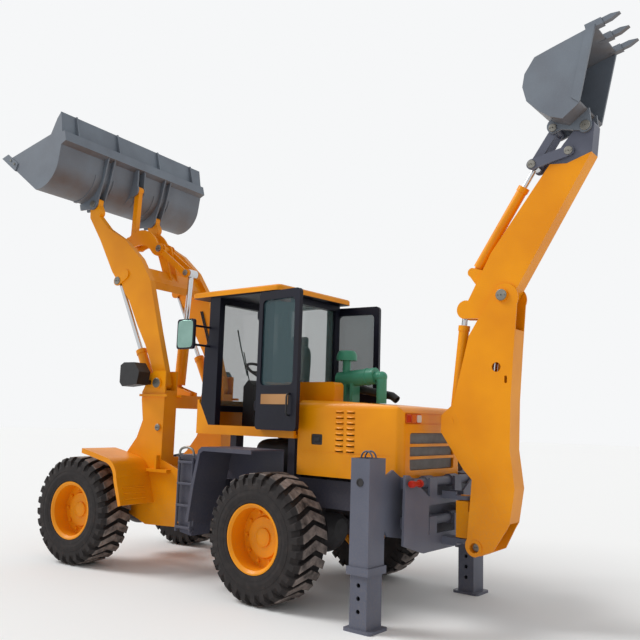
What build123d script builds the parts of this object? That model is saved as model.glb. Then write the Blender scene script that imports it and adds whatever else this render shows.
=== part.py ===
from build123d import *
from math import atan2, cos, degrees, hypot, radians, sin
import os

# Backhoe loader with an articulated frame. Millimetres, +X forward, +Y left, +Z up.
# Built about the ground point under the rear axle, then moved so that the origin is
# the middle of the machine's footprint box on the ground.

# Running gear
wheel_base = 2530.0
track_half = 800.0            # centre plane of each tyre
tyre_radius = 537.5
tyre_width = 390.0
lug_height = 38.0
lug_count = 28                # chevrons round one tyre
rim_radius = 287.0
rim_wall = 12.0
rim_inset = 13.0              # rim flange inside the tyre's side
disc_depth = 170.0            # from the outer flange to the wheel disc
steer_rest = 5.5              # degrees, front frame turned to the left as parked

# Rear frame
rail_y = 400.0                # outer face of the frame rails
rail_top = 1015.0
rail_depth = 240.0
plate_thick = 20.0
frame_rear_x = -1110.0

# Hood
hood_front_x = -55.0
hood_rear_x = -1130.0
hood_half = 500.0
hood_bottom = 1050.0
hood_top = 1700.0
hood_fall = 40.0              # how much lower the top is at its rear end
hood_corner = 60.0
hood_wall = 20.0
grille_half = 370.0
grille_low = 1146.0
grille_high = 1447.0
louvre_columns = (-512.0, -628.0)
louvre_rows = 8
louvre_top = 1602.0
louvre_pitch = 46.5
louvre_half = 42.0
louvre_height = 26.0
lamp_y = 320.0
lamp_z = 1563.0

# Cab
cab_half = 545.0
cab_floor = 1360.0
cab_sill = 1447.0
cab_roof = 2764.0
cab_rear_x = 300.0
cab_front_x = 1100.0
base_front_x = 1215.0
post = 70.0
roof_front_x = 1356.0
roof_rear_x = 164.0
roof_half = 567.0
roof_thick = 55.0
glass_thick = 8.0
door_width = 538.0
door_thick = 40.0
door_bottom = 1425.0
door_top = 2690.0
door_gap = 6.0                # between the shut leaf and the cab's side
door_open_angle = 174.0       # degrees from shut, as parked
hinge_x = 405.0
hinge_levels = (1640.0, 2480.0)

# Loader, in the front frame's own axes from the steering pivot
arm_y = 460.0
arm_thick = 70.0
arm_pivot = (570.0, 1855.0)
bucket_pin = (1818.0, 3940.0)
tower_rear_x = 455.0
tower_outer = 548.0
tower_inner = 370.0
tower_top = 1980.0
tower_flange = 1725.0
tilt_pin = (1620.0, 4215.0)
link_pin = (1645.0, 3540.0)
crank_pivot = (1125.0, 3430.0)
crank_rear = (690.0, 3110.0)
tilt_base = (780.0, 1790.0)
lift_eye = (1320.0, 2994.0)
lift_base = (520.0, 1400.0)
lift_slot = (241.0, 257.0)     # directions the lift rod takes inside the arm
bucket_half = 1130.0
bucket_wall = 14.0
floor_angle = 35.6            # degrees, bucket floor above level as parked

# Backhoe
leg_x = -1060.0
leg_y = 854.0
sleeve_long = 170.0           # outer size along X
sleeve_wide = 215.0           # outer size along Y
sleeve_wall = 8.0
sleeve_top = 1255.0
sleeve_bottom = 405.0
collar_step = 14.0
collar_height = 58.0
leg_gap = 0.6
leg_wall = 12.0
foot_long = 250.0
foot_wide = 240.0
foot_thick = 22.0
swing_x = -1440.0
boom_foot = (-1590.0, 575.0)
dipper_pivot = (-1800.0, 2570.0)
dipper_tail = (-1435.0, 2476.0)
rocker_pivot = (-2353.0, 3667.0)
rocker_pin = (-2054.0, 3613.0)
ear_pin = (-2236.0, 3872.0)
hoe_pivot = (-2487.0, 3840.0)
boom_half = 92.0
dipper_half = 74.0
hoe_half = 265.0
side_plate = 12.0

arm_range = (-98.0, 1.0)
bucket_range = (-12.0, 62.0)
steer_limit = 38.0
swing_range = 85.0
sideshift = 200.0
leg_travel = 330.0
boom_range = (0.0, 115.0)
dipper_range = (0.0, 110.0)
curl_range = (-6.0, 115.0)
boom_ram_base = (-1560.0, 905.0)
boom_ram_eye = (-1710.0, 2150.0)
dipper_ram_base = (-1335.0, 1550.0)
curl_ram_base = (-1520.0, 2790.0)
pivot_x = wheel_base / 2
pieces = {}


# ---- shapes ------------------------------------------------------------------
# A step is a corner (u, v), or a pair of points for an arc through the first to the second.
def face_of(steps, place):
    here, edges = steps[0], []
    for step in steps[1:] + steps[:1]:
        if isinstance(step[0], tuple):
            middle, there = step
            edges.append(Edge.make_three_point_arc(place(*here), place(*middle), place(*there)))
        else:
            there = step
            edges.append(Edge.make_line(place(*here), place(*there)))
        here = there
    return Face(Wire(edges))


def across(steps, y_low, y_high):
    face = face_of(steps, lambda x, z: (x, y_low, z))
    return extrude(face, amount=y_high - y_low, dir=(0, 1, 0))


def upright(steps, z_low, z_high):
    face = face_of(steps, lambda x, y: (x, y, z_low))
    return extrude(face, amount=z_high - z_low, dir=(0, 0, 1))


def endwise(steps, x_low, x_high):
    face = face_of(steps, lambda y, z: (x_low, y, z))
    return extrude(face, amount=x_high - x_low, dir=(1, 0, 0))


def block(x_low, x_high, y_low, y_high, z_low, z_high):
    middle = ((x_low + x_high) / 2, (y_low + y_high) / 2, (z_low + z_high) / 2)
    return Pos(*middle) * Box(x_high - x_low, y_high - y_low, z_high - z_low)


def bar(start, end, radius):
    line = Vector(*end) - Vector(*start)
    low = (Align.CENTER, Align.CENTER, Align.MIN)
    return Plane(origin=start, z_dir=line) * Cylinder(radius, line.length, align=low)


def cross_pin(point, y_low, y_high, radius):
    return bar((point[0], y_low, point[1]), (point[0], y_high, point[1]), radius)


def both_sides(shape):
    return [shape, mirror(shape, about=Plane.XZ)]


def join(shapes):
    whole = shapes[0]
    for shape in shapes[1:]:
        whole = whole + shape
    return whole


def group(shapes):
    solids = [solid for shape in shapes for solid in shape.solids()]
    return Compound(children=solids)


def polar(centre, angle, distance):
    turn = radians(angle)
    return (centre[0] + distance * cos(turn), centre[1] + distance * sin(turn))


def angle_of(start, end):
    return degrees(atan2(end[1] - start[1], end[0] - start[0]))


def span(start, end):
    return hypot(end[0] - start[0], end[1] - start[1])


def link_bar(start, end, radius, y_low, y_high):
    """A flat bar with round ends about two cross pins."""
    along = angle_of(start, end)
    corners = [polar(start, along + 90, radius), (polar(start, along + 180, radius),
               polar(start, along - 90, radius)), polar(end, along - 90, radius),
               (polar(end, along, radius), polar(end, along + 90, radius))]
    return across(corners, y_low, y_high)


def box_tube(x_mid, y_mid, x_size, y_size, wall, z_low, z_high):
    def prism(x_half, y_half, low, high):
        return block(x_mid - x_half, x_mid + x_half, y_mid - y_half, y_mid + y_half, low, high)
    return prism(x_size / 2, y_size / 2, z_low, z_high) - prism(x_size / 2 - wall, y_size / 2 - wall,
                                                                 z_low - 1, z_high + 1)


def rounded_slot(x_low, x_high, y_low, y_high, z_low, z_high, radius, axis):
    box = block(x_low, x_high, y_low, y_high, z_low, z_high)
    return fillet(box.edges().filter_by(axis), radius)


# ---- hydraulic cylinders -----------------------------------------------------
# Barrel and rod lie in a plane across Y. The rod's eye stands between its ears with a
# small side gap and no pin through it.
ram_gap = 0.4
eye_width = 60.0
ram_pin = 22.0


def ram(base, eye, y, barrel_radius, rod_radius, barrel_length, run_out=0.0, rod_width=eye_width):
    """Barrel and rod between two pins; the parked rod can still run out by run_out."""
    wall = barrel_radius * 0.2
    bore = barrel_radius - wall
    piston = 55.0
    along = angle_of(base, eye)
    at = lambda distance: (polar(base, along, distance)[0], y, polar(base, along, distance)[1])
    foot = barrel_radius * 0.95 + 12
    barrel = bar(at(foot), at(barrel_length), barrel_radius) - bar(at(foot + 40), at(barrel_length + 1), bore)
    barrel = barrel + bar(at(0), at(foot + 1), eye_width / 2 - 2)
    gland = bar(at(barrel_length - 45), at(barrel_length), barrel_radius + 6)
    gland = gland - bar(at(barrel_length - 60), at(barrel_length + 1), rod_radius + ram_gap)
    boss = cross_pin(base, y - eye_width / 2, y + eye_width / 2, barrel_radius * 0.95)
    barrel = join([barrel, gland, boss])
    barrel = barrel - cross_pin(base, y - eye_width, y + eye_width, ram_pin + ram_gap)
    reach = span(base, eye)
    head = barrel_length - 65 - run_out
    rod = join([bar(at(head - piston), at(head), bore - ram_gap), bar(at(head - 1), at(reach), rod_radius),
                cross_pin(eye, y - rod_width / 2, y + rod_width / 2, rod_radius * 1.6)])
    return barrel, rod


# ---- wheels ------------------------------------------------------------------
spindle_radius = 70.0
hub_length = 80.0
hub_gap = 0.3
low_end = (Align.CENTER, Align.CENTER, Align.MIN)
bead_gap = 0.3
rim_seat = rim_radius - 23


def tyre():
    """Body and one chevron lug, about the tyre's centre with its axle along Y."""
    half = tyre_width / 2
    tread = tyre_radius - lug_height
    edge = half - rim_inset
    section = [(edge - 30, rim_seat + bead_gap), (edge - 12, rim_radius + bead_gap),
               (edge + 4, rim_radius + 8), (half, rim_radius + 75), (half - 6, tread - 60),
               (half - 40, tread), (0, tread)]
    full = section + [(-u, v) for u, v in reversed(section[:-1])]
    body = revolve(face_of(full, lambda u, v: (0, u, v)), axis=Axis.Y, revolution_arc=360)
    pitch = 360 / lug_count
    # Stations across half the tread: offset from the middle, foot and crest radius, sweep
    # back and width along the tread as parts of the pitch.
    stations = [(0.0, tread - 20, tyre_radius, 0.0, 0.70),
                (half - 48, tread - 20, tyre_radius - 2, 0.52, 0.66),
                (half - 4, tread - 95, tyre_radius - 46, 0.62, 0.50)]
    halves = []
    for side in (1, -1):
        wires = []
        for offset, foot, crest, sweep, width in stations:
            corners = []
            for share, radius in ((-0.5, foot), (0.5, foot), (0.44, crest), (-0.44, crest)):
                spin = radians((share * width - sweep) * pitch)
                corners.append((radius * sin(spin), side * offset, radius * cos(spin)))
            wires.append(Wire([Edge.make_line(a, b) for a, b in zip(corners, corners[1:] + corners[:1])]))
        halves.append(Solid.make_loft(wires, ruled=True))
    lug = halves[0] + halves[1]
    return body, [Rot(0, index * pitch, 0) * lug for index in range(lug_count)]


def tyre_solid():
    body, lugs = tyre()
    return body.fuse(*lugs)


def rim():
    """Rim with its outer side towards +Y, about the tyre's centre plane."""
    edge = tyre_width / 2 - rim_inset
    disc = edge - disc_depth
    seat = rim_seat
    band = [(edge, rim_radius), (edge, rim_radius - rim_wall), (edge - 16, seat - rim_wall),
            (-edge + 16, seat - rim_wall), (-edge, rim_radius - rim_wall), (-edge, rim_radius),
            (-edge + 10, rim_radius), (-edge + 26, seat - 0.1), (edge - 26, seat - 0.1), (edge - 10, rim_radius)]
    ring = revolve(face_of(band, lambda u, v: (0, u, v)), axis=Axis.Y, revolution_arc=360)
    plate = bar((0, disc - 14, 0), (0, disc, 0), seat - rim_wall + 1)
    hub = bar((0, disc - hub_length, 0), (0, disc + 4, 0), 120)
    cover = Plane(origin=(0, disc, 0), z_dir=(0, 1, 0)) * Cone(178, 164, 26, align=low_end)
    bore = bar((0, disc - hub_length - 1, 0), (0, disc - 8, 0), spindle_radius + hub_gap)
    return join([ring, plate, hub, cover]) - bore


rim_shape = rim()
tyre_shape = tyre_solid()
wheels = [("rear_left", 0, 1), ("rear_right", 0, -1), ("front_left", 1, 1), ("front_right", 1, -1)]
front_frame = Pos(pivot_x, 0, 0) * Rot(0, 0, steer_rest)
for name, is_front, side in wheels:
    turned = Rot(0, 0, 0 if side > 0 else 180)
    place = Pos(pivot_x if is_front else 0, side * track_half, tyre_radius) * turned
    if is_front:
        place = front_frame * place
    pieces["tyre_" + name] = place * tyre_shape
    pieces["rim_" + name] = place * rim_shape
disc_y = track_half + tyre_width / 2 - rim_inset - disc_depth


def axle():
    tube = bar((0, -620, tyre_radius), (0, 620, tyre_radius), 95)
    casing = Pos(0, 0, tyre_radius) * Sphere(215)
    casing = casing & block(-190, 190, -150, 150, 0, 2000)
    parts = [tube, casing]
    for side in (1, -1):
        parts.append(bar((0, side * 600, tyre_radius), (0, side * (disc_y - hub_length - 12), tyre_radius), 135))
        parts.append(bar((0, side * 600, tyre_radius), (0, side * (disc_y - 9), tyre_radius), spindle_radius))
        parts.append(block(-80, 80, side * 330 - 60, side * 330 + 60, tyre_radius, tyre_radius + 130))
    return join(parts)


axle_pad = tyre_radius + 130
pieces["rear_axle"] = axle() + bar((150, 0, tyre_radius), (330, 0, tyre_radius), 60)
pieces["front_axle"] = front_frame * Pos(pivot_x, 0, 0) * (axle() + bar((-330, 0, tyre_radius),
                                                                      (-150, 0, tyre_radius), 60))


# ---- rear frame --------------------------------------------------------------
joint_low, joint_high = 560.0, 960.0
joint_plate = 35.0
joint_pin = 45.0
rail_bottom = rail_top - rail_depth


def rear_chassis():
    nose = pivot_x - 150
    rail = [(frame_rear_x, rail_bottom), (nose - 250, rail_bottom), (nose, 620), (nose, rail_top),
            (frame_rear_x, rail_top)]
    parts = both_sides(across(rail, rail_y - plate_thick, rail_y))
    for x in (frame_rear_x, -150, 330, nose - plate_thick):
        parts.append(block(x, x + plate_thick, -rail_y, rail_y, rail_bottom, rail_top))
    for x in (-100, 100 - plate_thick):
        for side in (1, -1):
            parts.append(block(x, x + plate_thick, side * 330 - 60, side * 330 + 60, axle_pad, rail_bottom + 30))
    parts += both_sides(block(-100, 100, 270, 390, axle_pad, axle_pad + 25))
    for x in (60, 800):
        parts += both_sides(block(x, x + 80, rail_y - 100, rail_y, rail_top - 1, cab_floor))
    for z in (joint_low, joint_high):
        tongue = [(nose - 200, -200), (nose, -200), (pivot_x, -90), ((pivot_x + 90, 0), (pivot_x, 90)),
                  (nose, 200), (nose - 200, 200)]
        parts.append(upright(tongue, z, z + joint_plate))
    parts.append(block(nose - 30, nose, -250, 250, joint_low, rail_top))
    parts.append(block(frame_rear_x, frame_rear_x + plate_thick, -rail_y, rail_y, joint_low, hood_bottom))
    body = join(parts)
    for z in (joint_low, joint_high):
        body = body - bar((pivot_x, 0, z - 1), (pivot_x, 0, z + joint_plate + 1), joint_pin + ram_gap)
    return body


pieces["rear_chassis"] = rear_chassis()
engine_feet = [block(x, x + 70, 249, rail_y - plate_thick, 820, 850) for x in (-840, -330)]
pieces["engine_block"] = join([block(-900, -200, -250, 250, 720, 1400)] + [side for foot in engine_feet for side in both_sides(foot)])


def hood_form(inset, bottom):
    """Hood's outside, or its inside when inset by the wall, from its plan, side and end outlines."""
    half, rear, top = hood_half - inset, hood_rear_x + inset, hood_top - inset
    corner = hood_corner - inset / 2
    cut = corner * 0.293
    front = hood_front_x + inset / 10
    plan = [(front, -half), (front, half), (rear + corner, half), ((rear + cut, half - cut), (rear, half - corner)),
            (rear, corner - half), ((rear + cut, cut - half), (rear + corner, -half))]
    side = [(front, bottom), (front, top), (-510, top - 8), (rear + 70, top - hood_fall),
            ((rear + 20, top - hood_fall - 22), (rear, top - hood_fall - 80)), (rear, bottom)]
    end = [(-half, bottom), (half, bottom), (half, top - 70), ((half - 24, top - 20), (half - 90, top + 5)),
           (90 - half, top + 5), ((24 - half, top - 20), (-half, top - 70))]
    body = upright(plan, bottom, top + 10) & across(side, -half - 1, half + 1)
    return body & endwise(end, rear - 1, front + 1)


def hood():
    shell = hood_form(0, hood_bottom) - hood_form(hood_wall, hood_bottom - 1)
    rear = hood_rear_x
    shell = shell - rounded_slot(rear - 1, rear + 60, -grille_half, grille_half, grille_low, grille_high,
                                 26, Axis.X)
    shell = shell - rounded_slot(rear - 1, rear + lamp_depth, -450, 450, lamp_z - 46, lamp_z + 46, 18, Axis.X)
    openings = []
    for y in (hood_half, -hood_half):
        for column in louvre_columns:
            for row in range(louvre_rows):
                z = louvre_top - row * louvre_pitch
                openings.append(block(column - louvre_half, column + louvre_half, y - 30, y + 30,
                                      z - louvre_height / 2, z + louvre_height / 2))
        openings.append(rounded_slot(-330, -207, y - 30, y + 30, 1315, 1407, 14, Axis.Y))
        openings.append(block(-1030, -130, y - 3, y + 3, 1252, 1260))
    shell = shell - openings
    bars = [block(rear + 2, rear + 18, -grille_half - 1, grille_half + 1, z - 12, z + 12)
            for z in grille_bars]
    side_box = across([(-300, hood_top - 12), (290, hood_top - 12), (290, 1870), (-262, 1870),
                       ((-289, 1859), (-300, 1832))], 170, 300)
    return join([shell] + bars + [side_box])


lamp_depth = 15.0
grille_bars = (1246.0, 1347.0)
pieces["hood"] = hood()
radiator_shelf = block(frame_rear_x + plate_thick, hood_rear_x + 130, -300, 300, rail_top - 20, rail_top + 1)
pieces["radiator"] = radiator_shelf + block(hood_rear_x + 60, hood_rear_x + 130, 20 - grille_half, grille_half - 20,
                                            rail_top, grille_high + 20)


def lamp_cluster():
    base = block(hood_rear_x + 3, hood_rear_x + lamp_depth, lamp_y - 122, lamp_y + 122, lamp_z - 40, lamp_z + 40)
    lenses = [rounded_slot(hood_rear_x - 6, hood_rear_x + 4, y - 36, y + 36, lamp_z - 33, lamp_z + 33, 12, Axis.X)
              for y in (lamp_y - 80, lamp_y, lamp_y + 80)]
    return join([base] + lenses)


work_light = join([rounded_slot(roof_rear_x + 12, roof_rear_x + 62, 395, 485, 2615, 2690, 12, Axis.X),
                   bar((roof_rear_x + 40, 440, 2680), (roof_rear_x + 40, 440, cab_roof - roof_thick), 9)])
pieces["rear_lamps"] = group(both_sides(lamp_cluster()) + [work_light])


def air_cleaner():
    """Drum on its saddle above the hood, with a rain cap on a stem at its front end."""
    drum = bar((-130, 0, 1905), (-540, 0, 1940), 75)
    rim_band = bar((-440, 0, 1931), (-456, 0, 1933), 80)
    elbow = bar((-535, 0, 1936), (-602, 0, 1930), 46) + Pos(-602, 0, 1930) * Sphere(50)
    elbow = elbow + bar((-602, 0, 1930), (-602, 0, 1691), 46)
    stem = bar((-206, 0, 1920), (-206, 0, 2100), 38)
    cap = Cylinder(cap_radius, 30, align=low_end) + Pos(0, 0, 30) * (Sphere(cap_radius)
                                                                     & Box(220, 220, 60, align=low_end))
    saddle = [block(x, x + 30, -58, 58, 1698, 1880) for x in (-320, -240)]
    return join([drum, rim_band, elbow, stem, Pos(-206, 0, 2085) * cap] + saddle)


cap_radius = 96.0
pieces["air_cleaner"] = air_cleaner()


def exhaust():
    y = -122
    path = [(-80, hood_top + 0.2), (-80, 1868), (-326, 1817), (-636, 1763), (-690, 1728)]
    pipe = [bar((a[0], y, a[1]), (b[0], y, b[1]), 36) for a, b in zip(path, path[1:])]
    bends = [Pos(x, y, z) * Sphere(36) for x, z in path[1:-1]]
    clamp = bar((-311, y, 1820), (-341, y, 1814), 41)
    bore = bar((-636, y, 1763), (-700, y, 1722), 30)
    return join(pipe + bends + [clamp]) - bore


pieces["exhaust"] = exhaust()


# ---- cab ---------------------------------------------------------------------
post_foot = (1050.0, cab_sill)
post_knee = (1165.0, 1640.0)


def cab_base():
    side = [(hood_front_x + 12, cab_floor), (base_front_x, cab_floor), (base_front_x, 1690), post_knee,
            post_foot, (cab_rear_x + 20, cab_sill), (cab_rear_x + 20, 1860), (hood_front_x + 12, 1660)]
    left = across(side, cab_half - 30, cab_half)
    parts = both_sides(left)
    parts.append(block(hood_front_x + 12, base_front_x, -cab_half, cab_half, cab_floor, cab_floor + 30))
    parts.append(block(base_front_x - 25, base_front_x, -cab_half, cab_half, cab_floor, 1690))
    parts.append(block(cab_rear_x, cab_rear_x + 20, -cab_half, cab_half, cab_floor, 1860))
    return join(parts)


pieces["cab_base"] = cab_base()


def cab_frame():
    """Posts and rails of the cab, with the doors' hinge pins and the mirrors on their arms."""
    high = cab_roof - roof_thick
    front_post = [(960, cab_sill), post_foot, post_knee, (1150, 2220), (1100, 2260), (1100, high), (960, high)]
    parts = []
    for side in (1, -1):
        low, top = sorted((side * (cab_half - post), side * cab_half))
        parts.append(across(front_post, low, top))
        parts.append(block(cab_rear_x, hinge_x + 8, low, top, 1860, high))
        parts.append(block(cab_rear_x + 21, hinge_x + 8, low, top, cab_sill, 1870))
        parts.append(block(cab_rear_x, 960, low, top, door_top + 5, high))
    for x in (cab_rear_x, cab_front_x - post):
        parts.append(block(x, x + post, -cab_half, cab_half, door_top - 40, high))
    parts.append(block(cab_front_x - post, cab_front_x, -cab_half, cab_half, 1577, 1637))
    pin_y = cab_half + door_gap + door_thick / 2
    for z in hinge_levels:
        lugs = [block(hinge_x - 13, hinge_x + 8, cab_half - 2, pin_y + 11, level, level + 12)
                for level in (z - 42, z + 30)]
        parts += both_sides(join(lugs + [bar((hinge_x, pin_y, z - 42), (hinge_x, pin_y, z + 42), 8)]))
    mirror_head = rounded_slot(970, 1207, 836, 864, 2160, 2450, 30, Axis.Y)
    arms = [bar((1090, 515, z), (1090, 850, z), 11) for z in (2215, 2400)]
    parts += both_sides(join([mirror_head] + arms))
    return join(parts)


pieces["cab_frame"] = cab_frame()


def cab_roof_panel():
    slab = block(roof_rear_x, roof_front_x, -roof_half, roof_half, cab_roof - roof_thick, cab_roof)
    slab = fillet(slab.edges().filter_by(Axis.Z), 55)
    return chamfer(slab.edges().group_by(Axis.Z)[-1], 14)


pieces["cab_roof"] = cab_roof_panel()
inside = cab_half - post
panes = [block(cab_front_x - 40, cab_front_x - 40 + glass_thick, -inside, inside, 1637, door_top - 40),
         block(cab_rear_x + 30, cab_rear_x + 30 + glass_thick, -inside, inside, 1860, door_top - 40)]
pieces["cab_glass"] = group(panes)
pieces["seat"] = group([block(450, 720, -150, 150, cab_floor + 30, 1570), block(420, 800, -235, 235, 1570, 1700),
                        across([(400, 1700), (505, 1700), (455, 2260), (350, 2260)], -220, 220)])


def console():
    """Steering column with its wheel, on the cab's floor."""
    foot = across([(850, cab_floor + 30), (1020, cab_floor + 30), (1020, 1840), (960, 1905), (885, 1860)],
                  -105, 105)
    hub, lean = Vector(835, 0, 1985), Vector(-0.5, 0, 0.866)
    column = bar((915, 0, 1850), (835, 0, 1985), 27)
    wheel = Plane(origin=hub, z_dir=lean) * Torus(190, 14)
    boss = bar((840, 0, 1976), (826, 0, 2000), 42)
    across_wheel = Plane(origin=hub, x_dir=(0, 1, 0), z_dir=lean)
    spokes = [across_wheel * Rot(0, 0, turn) * Box(190, 24, 10, align=(Align.MIN, Align.CENTER, Align.CENTER))
              for turn in (0, 120, 240)]
    return join([foot, column, boss, wheel] + spokes)


pieces["console"] = console()


def door():
    """Leaf and pane in their shut place on the left side, hinged at the rear edge."""
    y = cab_half + door_gap
    leaf = block(door_rear_x, door_rear_x + door_width, y, y + door_thick, door_bottom, door_top)
    leaf = fillet(leaf.edges().filter_by(Axis.Y), 40)
    opening = (door_rear_x + 50, door_rear_x + door_width - 60, door_bottom + 400, door_top - 80)
    window = rounded_slot(opening[0], opening[1], y - 1, y + door_thick + 1, opening[2], opening[3], 45, Axis.Y)
    glass = rounded_slot(opening[0], opening[1], y + 16, y + 24, opening[2], opening[3], 45, Axis.Y)
    panel = rounded_slot(opening[0], opening[1], y + door_thick - 8, y + door_thick + 1, door_bottom + 45,
                         door_bottom + 355, 30, Axis.Y)
    parts = [leaf - window - panel]
    pin_y = y + door_thick / 2
    for z in hinge_levels:
        parts.append(bar((hinge_x, pin_y, z - 27), (hinge_x, pin_y, z + 27), 15))
        parts.append(block(hinge_x, door_rear_x + 30, pin_y - 8, pin_y + 8, z - 27, z + 27))
    handle_x = door_rear_x + door_width - 32
    parts += [bar((handle_x, y + 38, 1905), (handle_x, y + 38, 2085), 11)]
    frame = join(parts)
    for z in hinge_levels:
        frame = frame - bar((hinge_x, pin_y, z - 30), (hinge_x, pin_y, z + 30), 8.3)
    return frame, glass


door_rear_x = hinge_x + 22
hinge_y = cab_half + door_gap + door_thick / 2
frame_leaf, glass_leaf = door()
swing_open = Pos(hinge_x, hinge_y, 0) * Rot(0, 0, door_open_angle) * Pos(-hinge_x, -hinge_y, 0)
opened = [swing_open * frame_leaf, swing_open * glass_leaf]
pieces["door_left"], pieces["door_glass_left"] = opened
pieces["door_right"], pieces["door_glass_right"] = [mirror(shape, about=Plane.XZ) for shape in opened]


# ---- fenders, tank and steps -------------------------------------------------
def rear_fender():
    """Sheet over one rear wheel, its outer lip, its inner wall and two brackets to the frame."""
    outside = [(50, 1258), (660, 1258), (700, 1225), (770, 930), (822, 589)]
    sheet = outside + [(812, 589), (760, 928), (692, 1220), (656, 1248), (50, 1248)]
    lip = outside + [(788, 589), (736, 920), (674, 1200), (642, 1222), (50, 1222)]
    wall = [(50, 1258), (660, 1258), (700, 1225), (740, 1060), (640, 960), (90, 960), (50, 1020)]
    parts = [across(sheet, fender_inner, 980), across(lip, 970, 980), across(wall, fender_inner, fender_inner + 8)]
    parts += [block(x, x + 60, rail_y, fender_inner + 2, rail_top - 75, rail_top - 5) for x in (130, 560)]
    return join(parts)


fender_inner = cab_half + 7
pieces["fenders"] = group(both_sides(rear_fender()))


def side_tank():
    """Tank with a ladder on its outer face, a hand rail each side of it, and its brackets."""
    outline = [(733, 1170), (1066, 1170), (1066, 620), (1010, 470), (860, 450), (838, 560), (778, 925)]
    parts = [across(outline, 640, 868)]
    parts += [block(x, x + 60, rail_y, 641, 860, 940) for x in (840, 980)]
    for x in (844, 1030):
        parts.append(bar((x, 900, 480), (x, 900, 1150), 13))
        parts += [bar((x, 860, z), (x, 900, z), 10) for z in (500, 1120)]
    for z in ladder_levels:
        parts.append(rounded_slot(838, 1036, 880, 915, z - 11, z + 11, 5, Axis.X))
    return join(parts)


ladder_levels = (520.0, 715.0, 910.0, 1105.0)
pieces["tanks"] = group(both_sides(side_tank()))


# ---- front frame and loader, about the steering pivot ------------------------
def front_chassis():
    """Frame with the loader tower, whose plates stand in pairs with the arms and rams between."""
    inner_plate = [(tower_rear_x, 438), (626, 424), (730, 464), (926, 527), (1080, 690), (1560, 690), (1560, 900),
                   (1040, 1060), (955, 1128), (821, 1289), (748, 1468), (781, 1675), (781, 1760), (700, 1900),
                   ((640, 1968), (570, 1980)), (tower_rear_x, 1980)]
    outer_plate = [(198, 438)] + inner_plate[1:-1] + [(tower_rear_x, 1980), (tower_rear_x, 1080), (198, 985)]
    solids = both_sides(across(inner_plate, tower_inner, tower_inner + plate_thick))
    solids += both_sides(across(outer_plate, tower_outer - 18, tower_outer))
    gap_low, gap_high = tower_inner + plate_thick, tower_outer - 18
    strips = [block(tower_rear_x, tower_rear_x + 8, gap_low, gap_high, 438, 1780),
              block(tower_rear_x - 60, tower_rear_x + 330, tower_outer, tower_outer + 34, 1713, 1737),
              block(tower_rear_x - 60, tower_rear_x + 330, tower_inner - 60, tower_inner, 1713, 1737),
              block(315, 600, tower_outer, tower_outer + 60, 955, 985),
              across([(470, 985), (500, 985), (490, 1100), (470, 1120)], tower_outer, tower_outer + 50),
              cross_pin(arm_pivot, gap_low, gap_high, 45), cross_pin(lift_base, gap_low, gap_high, 22),
              cross_pin(arm_pivot, tower_outer, tower_outer + 14, 62),
              cross_pin(lift_base, tower_outer, tower_outer + 10, 40),
              block(1165, 1365, 270, tower_inner, axle_pad, axle_pad + 40)]
    for strip in strips:
        solids += both_sides(strip)
    solids.append(block(tower_rear_x, tower_rear_x + 20, -tower_inner, tower_inner, 438, 1100))
    solids.append(block(tower_rear_x, 640, -tower_inner, tower_inner, 1600, 1737))
    solids.append(block(1540, 1560, -tower_inner, tower_inner, 690, 900))
    solids.append(block(1050, 1070, -tower_inner, tower_inner, 690, 900))
    tongue = [(tower_rear_x, -180), (tower_rear_x, 180), (0, 85), ((-85, 0), (0, -85))]
    step = joint_plate + 4
    for z in (joint_low, joint_high):
        leaves = [upright(tongue, level, level + joint_plate) for level in (z - step, z + step)]
        solids.append(join(leaves + [bar((0, 0, z - step), (0, 0, z + joint_plate + step), joint_pin)]))
    x, z = tilt_base
    ear = [(640, 1640), (x + 28, z - 40), ((x + 50, z), (x, z + 50)), (x - 40, z + 40), (560, 1775), (560, 1737),
           (640, 1737)]
    solids += both_sides(across(ear, 36, 56))
    solids.append(cross_pin(tilt_base, -36, 36, 22))
    return group(solids)


pieces["front_chassis"] = front_frame * front_chassis()


def front_fender():
    """Curved sheet behind one front wheel, with its outer flange and three pressed ribs."""
    outside = [(1130, 1168), (993, 1143), (760, 1092), ((655, 1030), (605, 907)), (520, 650)]
    inside = [(532, 646), (617, 903), ((666, 1022), (766, 1081)), (996, 1131), (1130, 1156)]
    flange = [(556, 638), (645, 890), ((690, 1000), (776, 1048)), (1000, 1096), (1130, 1120)]
    parts = [across(outside + inside, tower_outer, 990), across(outside + flange, 980, 990)]
    for share in (0.22, 0.42, 0.62):
        x, z = 520 + 85 * share, 650 + 257 * share
        parts.append(bar((x, 640, z), (x, 930, z), 9))
    return join(parts)


pieces["front_fenders"] = front_frame * group(both_sides(front_fender()))


def work_lamp():
    """Head lamp in its housing on a stand beside the tower."""
    housing = across([(650, 1830), (860, 1808), (900, 1850), (900, 2025), (850, 2055), (700, 2055), (625, 1960)],
                     600, 760)
    housing = housing - rounded_slot(888, 901, 618, 742, 1862, 2012, 20, Axis.X)
    lens = rounded_slot(880, 893, 622, 738, 1866, 2008, 18, Axis.X)
    return join([housing, lens, block(660, 715, tower_outer, 602, 1835, 1880)])


pieces["work_lamps"] = front_frame * group(both_sides(work_lamp()))

arm_shape = [(1735, 3985), ((1845, 3996), (1876, 3920)), (1867, 3783), (1666, 3498), (1427, 3103), (1129, 2765),
             (974, 2482), (833, 2260), (707, 1992), (655, 1880), ((590, 1768), (482, 1845)), (518, 1990),
             (654, 2415), (819, 2965), (993, 3224), (1250, 3454), (1545, 3625), (1751, 3828)]
beam_shape = [(900, 2900), (1010, 2925), (1085, 3050), (1075, 3150), (1005, 3140), (925, 3030), (895, 2980)]


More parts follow.
